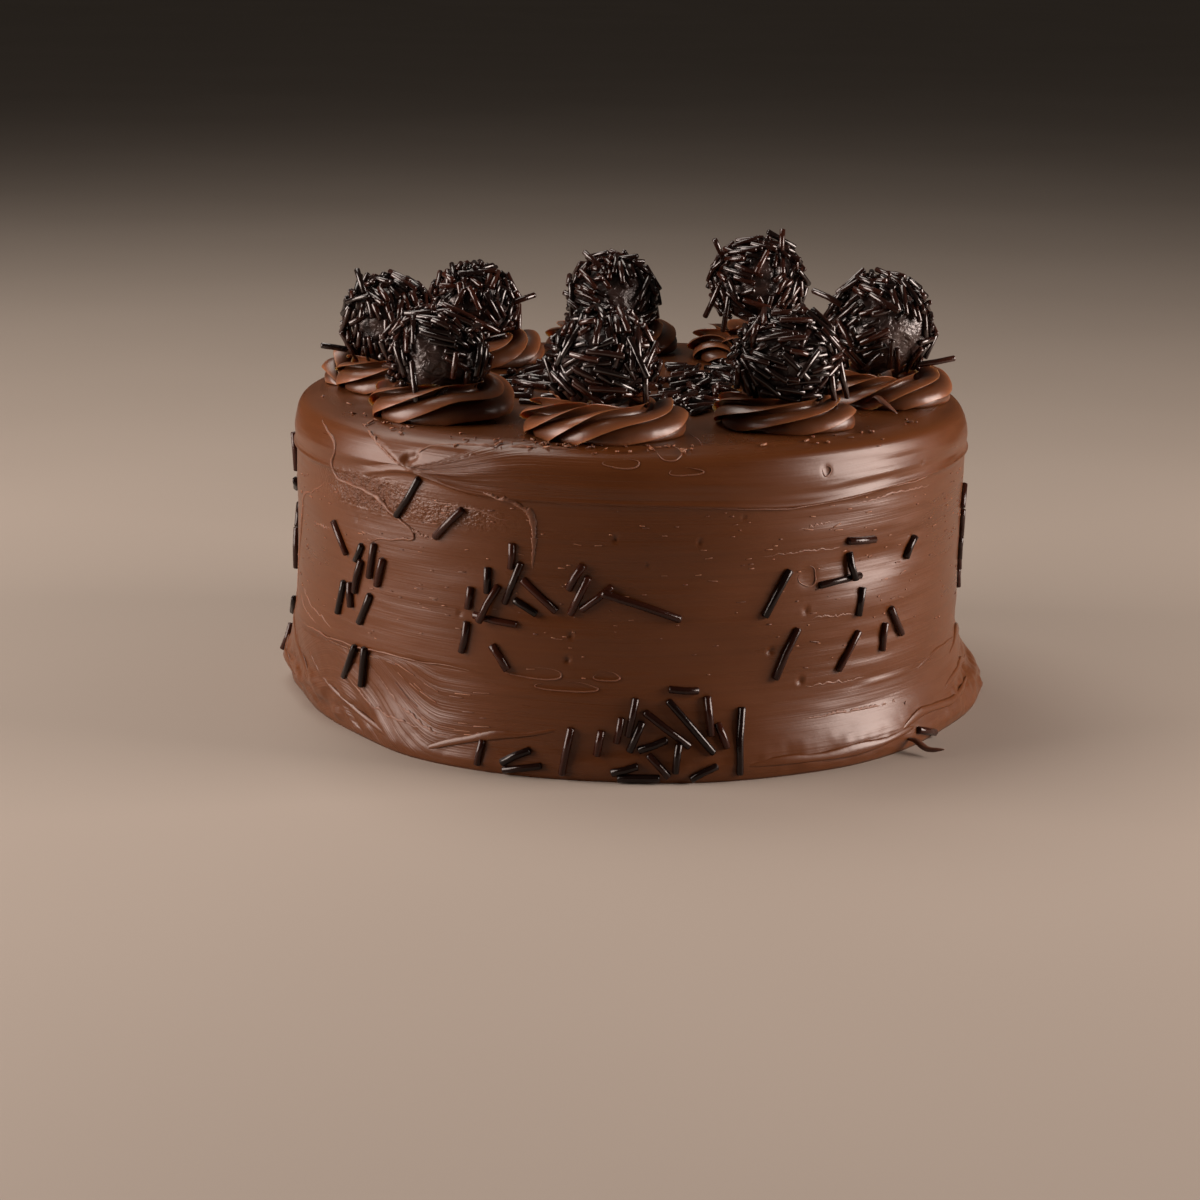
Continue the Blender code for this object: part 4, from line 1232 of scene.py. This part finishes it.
def new_material(name, roughness, inputs=None):
    """A material with its Principled shader, its node tree and the object's coordinates."""
    material = bpy.data.materials.new(name)
    material.use_nodes = True
    tree = material.node_tree
    shader = tree.nodes["Principled BSDF"]
    feed(tree, shader, {"Roughness": roughness, **(inputs or {})})
    coordinates = add(tree, "ShaderNodeTexCoord").outputs["Object"]
    return material, tree, shader, coordinates


def weighted_sum(tree, *terms, start=0.0):
    """start, plus each term's value times its weight. A value or weight is an output or a number."""
    total = start
    for value, weight in terms:
        inputs = {0: value, 1: weight, 2: total}
        total = add(tree, "ShaderNodeMath", inputs, operation="MULTIPLY_ADD").outputs[0]
    return total


def stretched_noise(tree, coordinates, scale, detail=2.0, distortion=0.0):
    """Noise on coordinates that are stretched by a scale for each axis, in cells per metre."""
    mapped = add(tree, "ShaderNodeMapping", {"Vector": coordinates, "Scale": scale}).outputs[0]
    inputs = {"Vector": mapped, "Scale": 1.0, "Detail": detail, "Distortion": distortion}
    return add(tree, "ShaderNodeTexNoise", inputs).outputs["Fac"]


def stroke_noise(tree, coordinates, across, along, cells, detail):
    """Noise drawn out along the knife's stroke: along cells per metre that way, cells per mm across it."""
    flat = add(tree, "ShaderNodeMapping", {"Vector": coordinates, "Scale": (along, along, 0.0)})
    step = add(tree, "ShaderNodeCombineXYZ", {2: weighted_sum(tree, (across, cells))})
    way = add(tree, "ShaderNodeVectorMath", {0: flat.outputs[0], 1: step.outputs[0]}, operation="ADD")
    inputs = {"Vector": way.outputs[0], "Scale": 1.0, "Detail": detail}
    return add(tree, "ShaderNodeTexNoise", inputs).outputs["Fac"]


def colour_and_relief(tree, shader, factor, low, high, height, depth):
    """Colour from low to high by a factor, and a relief that is depth metres deep where height is 1."""
    ends = {0: factor, 6: low, 7: high}
    colour = add(tree, "ShaderNodeMix", ends, data_type="RGBA").outputs[2]
    relief = add(tree, "ShaderNodeBump", {"Height": height, "Distance": depth, "Strength": 1.0})
    feed(tree, shader, {"Base Color": colour, "Normal": relief.outputs[0]})


# %% [markdown]
# ### Spread frosting
# Milk-chocolate buttercream: fat, sugar and cocoa whipped to a paste and drawn out by a steel knife. It
# is opaque with a satin sheen, duller where air bubbles were dragged open, and its colour is a little
# lighter where it holds more air. The knife's nicks run level round the wall, 0.4 to 1.5 mm apart.

# %% Spread frosting material
def spread_frosting():
    """Colour and gloss vary by streaks and clouds. The torn patch is dull and full of holes, and the
    nicks are deepest where the knife swung round or a stroke began."""
    inputs = {"Subsurface Weight": 0.08, "Subsurface Scale": 0.0015,
              "Subsurface Radius": (1.0, 0.45, 0.25), "Specular IOR Level": 0.36}
    material, tree, shader, coordinates = new_material("milk_chocolate_buttercream_spread", 0.32, inputs)
    across = add(tree, "ShaderNodeAttribute", attribute_name="across").outputs["Fac"]
    pitted = add(tree, "ShaderNodeAttribute", attribute_name="pitted").outputs["Fac"]
    nicked = add(tree, "ShaderNodeAttribute", attribute_name="nicked").outputs["Fac"]
    streaks = stroke_noise(tree, coordinates, across, 9.0, 0.62, 4.0)
    nicks = stroke_noise(tree, coordinates, across, 20.0, 2.1, 2.0)
    clouds = stretched_noise(tree, coordinates, (22.0, 22.0, 34.0), 3.0)
    grain = stretched_noise(tree, coordinates, (900.0, 900.0, 900.0))
    pits = stretched_noise(tree, coordinates, (900.0, 900.0, 1100.0))
    satin, dull = weighted_sum(tree, (streaks, 0.12), (clouds, 0.26)), weighted_sum(tree, (pitted, 0.4))
    rough = add(tree, "ShaderNodeMath", {0: satin, 1: dull}, operation="MAXIMUM").outputs[0]
    feed(tree, shader, {"Roughness": weighted_sum(tree, (rough, 1.0), start=0.12)})
    tone = weighted_sum(tree, (streaks, 0.35), (clouds, 0.65))
    marks = weighted_sum(tree, (streaks, 0.42), (nicks, 0.28))
    deeper = weighted_sum(tree, (nicked, 2.2), start=1.0)
    holes = weighted_sum(tree, (pits, pitted))
    height = weighted_sum(tree, (marks, deeper), (grain, 0.06), (holes, 5.0))
    colour_and_relief(tree, shader, tone, linear("#44220b"), linear("#673a1b"), height, 0.2 * MM)
    return material


def torn_frosting():
    """Thin dried edges, lighter by each piece's tone: their drier colour and a painted highlight, and light
    glows through them.
    """
    inputs = {"Subsurface Weight": 0.3, "Subsurface Scale": 0.001, "Subsurface Radius": (1.0, 0.45, 0.25)}
    material, tree, shader, coordinates = new_material("dried_torn_buttercream_painted_highlight", 0.5, inputs)
    tone = add(tree, "ShaderNodeAttribute", attribute_name="tone").outputs["Fac"]
    grain = stretched_noise(tree, coordinates, (1500.0, 1500.0, 1500.0))
    # The lighter of the two colours is partly drier frosting and partly a painted highlight on torn edges
    # and lips
    colour_and_relief(tree, shader, tone, linear("#55311f"), linear("#8f6043"), grain, 0.1 * MM)
    return material


# %% [markdown]
# ### Piped frosting
# The same buttercream pressed through a smooth steel nozzle: no knife marks, a soft gloss on the ridges,
# fine cracks along the lips, and a painted glow on the lips, lighter and warmer than the rest, for the
# light that shines through them.

# %% Piped frosting material
def piped_frosting():
    """Clouds of two browns, and a lighter one on the lips as a painted glow, over a soft relief with a
    little grain.
    """
    inputs = {"Subsurface Weight": 0.15, "Subsurface Scale": 0.002, "Subsurface Radius": (1.0, 0.4, 0.2)}
    material, tree, shader, coordinates = new_material("milk_chocolate_buttercream_piped", 0.34, inputs)
    clouds = stretched_noise(tree, coordinates, (60.0, 60.0, 60.0), 3.0)
    grain = stretched_noise(tree, coordinates, (1200.0, 1200.0, 1200.0))
    soft = stretched_noise(tree, coordinates, (260.0, 260.0, 260.0))
    lip = add(tree, "ShaderNodeAttribute", attribute_name="lip").outputs["Fac"]
    ends = {0: clouds, 6: linear("#3c2010"), 7: linear("#59341d")}
    body = add(tree, "ShaderNodeMix", ends, data_type="RGBA").outputs[2]
    height = weighted_sum(tree, (soft, 0.6), (grain, 0.2))
    # The lips' lighter colour is a painted glow: light shining through the thin lips, painted into the
    # colour
    colour_and_relief(tree, shader, lip, body, linear("#8e5634"), height, 0.14 * MM)
    return material


# %% [markdown]
# ### Fudge and sprinkles
# Cooked fudge is nearly black, sticky and finely wrinkled. Sprinkles are dark chocolate with a polished
# wax coat: a sharp thin highlight runs along each one, and each batch varies from black to red-brown.
# Those on the wall are duller, because fingers pressed them into the frosting.

# %% Fudge and sprinkle materials
def dark_fudge():
    """Sticky cooked fudge: two near blacks in clouds, over wrinkles a millimetre deep."""
    inputs = {"Specular IOR Level": 0.75}
    material, tree, shader, coordinates = new_material("cooked_chocolate_fudge", 0.34, inputs)
    clouds = stretched_noise(tree, coordinates, (160.0, 160.0, 160.0))
    wrinkles = stretched_noise(tree, coordinates, (300.0, 300.0, 400.0), 3.0, 0.8)
    colour_and_relief(tree, shader, clouds, linear("#1f1411"), linear("#45302a"), wrinkles, 1.1 * MM)
    return material


def waxed_sprinkle(name, shine):
    """Dark chocolate under wax, with this much shine. The tone's power keeps most rods near black."""
    material, tree, shader, coordinates = new_material(name, 0.15, {"Specular IOR Level": shine})
    tone = add(tree, "ShaderNodeAttribute", attribute_name="tone").outputs["Fac"]
    warm = add(tree, "ShaderNodeMath", {0: tone, 1: 1.8}, operation="POWER").outputs[0]
    grain = stretched_noise(tree, coordinates, (1500.0, 1500.0, 1500.0))
    colour_and_relief(tree, shader, warm, linear("#120806"), linear("#36180e"), grain, 0.05 * MM)
    return material


# %% Give each piece its material and body, and hide the solids it stands for
materials = {"frosting": spread_frosting(), "piped_frosting": piped_frosting(), "fudge": dark_fudge(),
             "sprinkle": waxed_sprinkle("waxed_dark_chocolate_sprinkle", 0.7),
             "pressed": waxed_sprinkle("dulled_dark_chocolate_sprinkle", 0.3), "torn": torn_frosting()}
print("materials:", ", ".join(material.name for material in materials.values()))


def dress(piece, slot, *nodes, finish=None):
    """Material, by its finish or else its slot, a ride on the one body, and the solids that the piece
    replaces, hidden.
    """
    piece.data.materials.append(materials[finish or slot])
    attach(piece, "root")
    if nodes:
        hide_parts(*nodes)


dress(frosting, "frosting", "cake")
dress(foot_folds, "frosting")
# The lips, torn edges, crumbs and curls get the torn finish, whose lighter colour is partly a painted
# highlight
for scrap in (knife_lips, torn_bubbles, rim_crumbs, frosting_curls):
    dress(scrap, "frosting", finish="torn")
dress(wall_sprinkles, "sprinkle", finish="pressed")
dress(top_sprinkles, "sprinkle")
for place, rosette, ball, coat in zip(PLACES, rosettes, balls, coats):
    dress(rosette, "piped_frosting", "rosette_" + place[0])
    dress(ball, "fudge", "truffle_" + place[0])
    dress(coat, "sprinkle")


# %% [markdown]
# ## Studio
# A plain pale floor, a large soft light on either side and a weak one from above, as the cake was
# photographed: bright flanks, and a darker stretch in the middle of the wall that faces the camera.

# %% Floor, lights and camera
FLOOR_HALF = 14.0
# The lights face the cake's axis at this height
AIM_HEIGHT = 60.0 * MM
# Focal length and sensor width in mm, place in metres, and turn, tip and roll in degrees
LENS, SENSOR = 84.735, 36.0
CAMERA_PLACE = (0.0, -0.9168, 0.2565)
CAMERA_TURN, CAMERA_TIP, CAMERA_ROLL = 0.573, 13.98, 0.745


def studio_floor():
    """One large level square."""
    corners = [(x * FLOOR_HALF, y * FLOOR_HALF, 0.0) for x, y in ((-1, -1), (1, -1), (1, 1), (-1, 1))]
    mesh = bpy.data.meshes.new("floor")
    mesh.from_pydata(corners, [], [(0, 1, 2, 3)])
    floor = bpy.data.objects.new("floor", mesh)
    bpy.context.scene.collection.objects.link(floor)
    material, tree, shader, coordinates = new_material("pale_floor", 0.7)
    specks = stretched_noise(tree, coordinates, (3.0, 3.0, 3.0))
    ends = {0: specks, 6: linear("#9a9187"), 7: linear("#a79e94")}
    feed(tree, shader, {"Base Color": add(tree, "ShaderNodeMix", ends, data_type="RGBA").outputs[2]})
    mesh.materials.append(material)


def looking_back(azimuth, elevation):
    """The turn of a lamp or camera that looks back at the cake from an azimuth and an elevation."""
    tip = Matrix.Rotation(math.radians(90.0 - elevation), 4, "X")
    return Matrix.Rotation(math.radians(azimuth), 4, "Z") @ tip


def soft_light(name, azimuth, elevation, distance, size, power, tint):
    """A square light that faces the cake from an azimuth and an elevation in degrees."""
    light = bpy.data.lights.new(name, "AREA")
    light.size, light.energy, light.color = size, power, linear(tint)[:3]
    lamp = bpy.data.objects.new(name, light)
    lamp.location = towards(azimuth, elevation) * distance + [0.0, 0.0, AIM_HEIGHT]
    lamp.rotation_euler = looking_back(azimuth, elevation).to_euler()
    bpy.context.scene.collection.objects.link(lamp)


def photo_camera():
    """A long lens, tipped down 14 degrees, turned and rolled a touch."""
    data = bpy.data.cameras.new("camera")
    data.lens, data.sensor_width, data.clip_start = LENS, SENSOR, 0.01
    camera = bpy.data.objects.new("camera", data)
    turn = looking_back(CAMERA_TURN, CAMERA_TIP) @ Matrix.Rotation(math.radians(CAMERA_ROLL), 4, "Z")
    camera.matrix_world = Matrix.Translation(CAMERA_PLACE) @ turn
    bpy.context.scene.collection.objects.link(camera)
    bpy.context.scene.camera = camera


studio_floor()
soft_light("left_softbox", -78, 17, 1.1, 0.75, 18.0, "#ffebe1")
soft_light("right_softbox", 82, 15, 1.0, 0.55, 15.0, "#ffebe1")
soft_light("top_fill", -140, 58, 1.3, 0.8, 8.0, "#fff2e8")
photo_camera()
world = bpy.data.worlds.new("soft_room")
bpy.context.scene.world = world
world.use_nodes = True
world.node_tree.nodes["Background"].inputs["Color"].default_value = linear("#8f857c")
world.node_tree.nodes["Background"].inputs["Strength"].default_value = 0.15
bpy.context.scene.view_settings.view_transform = "Standard"
print("lights:", ", ".join(light.name for light in bpy.data.lights))
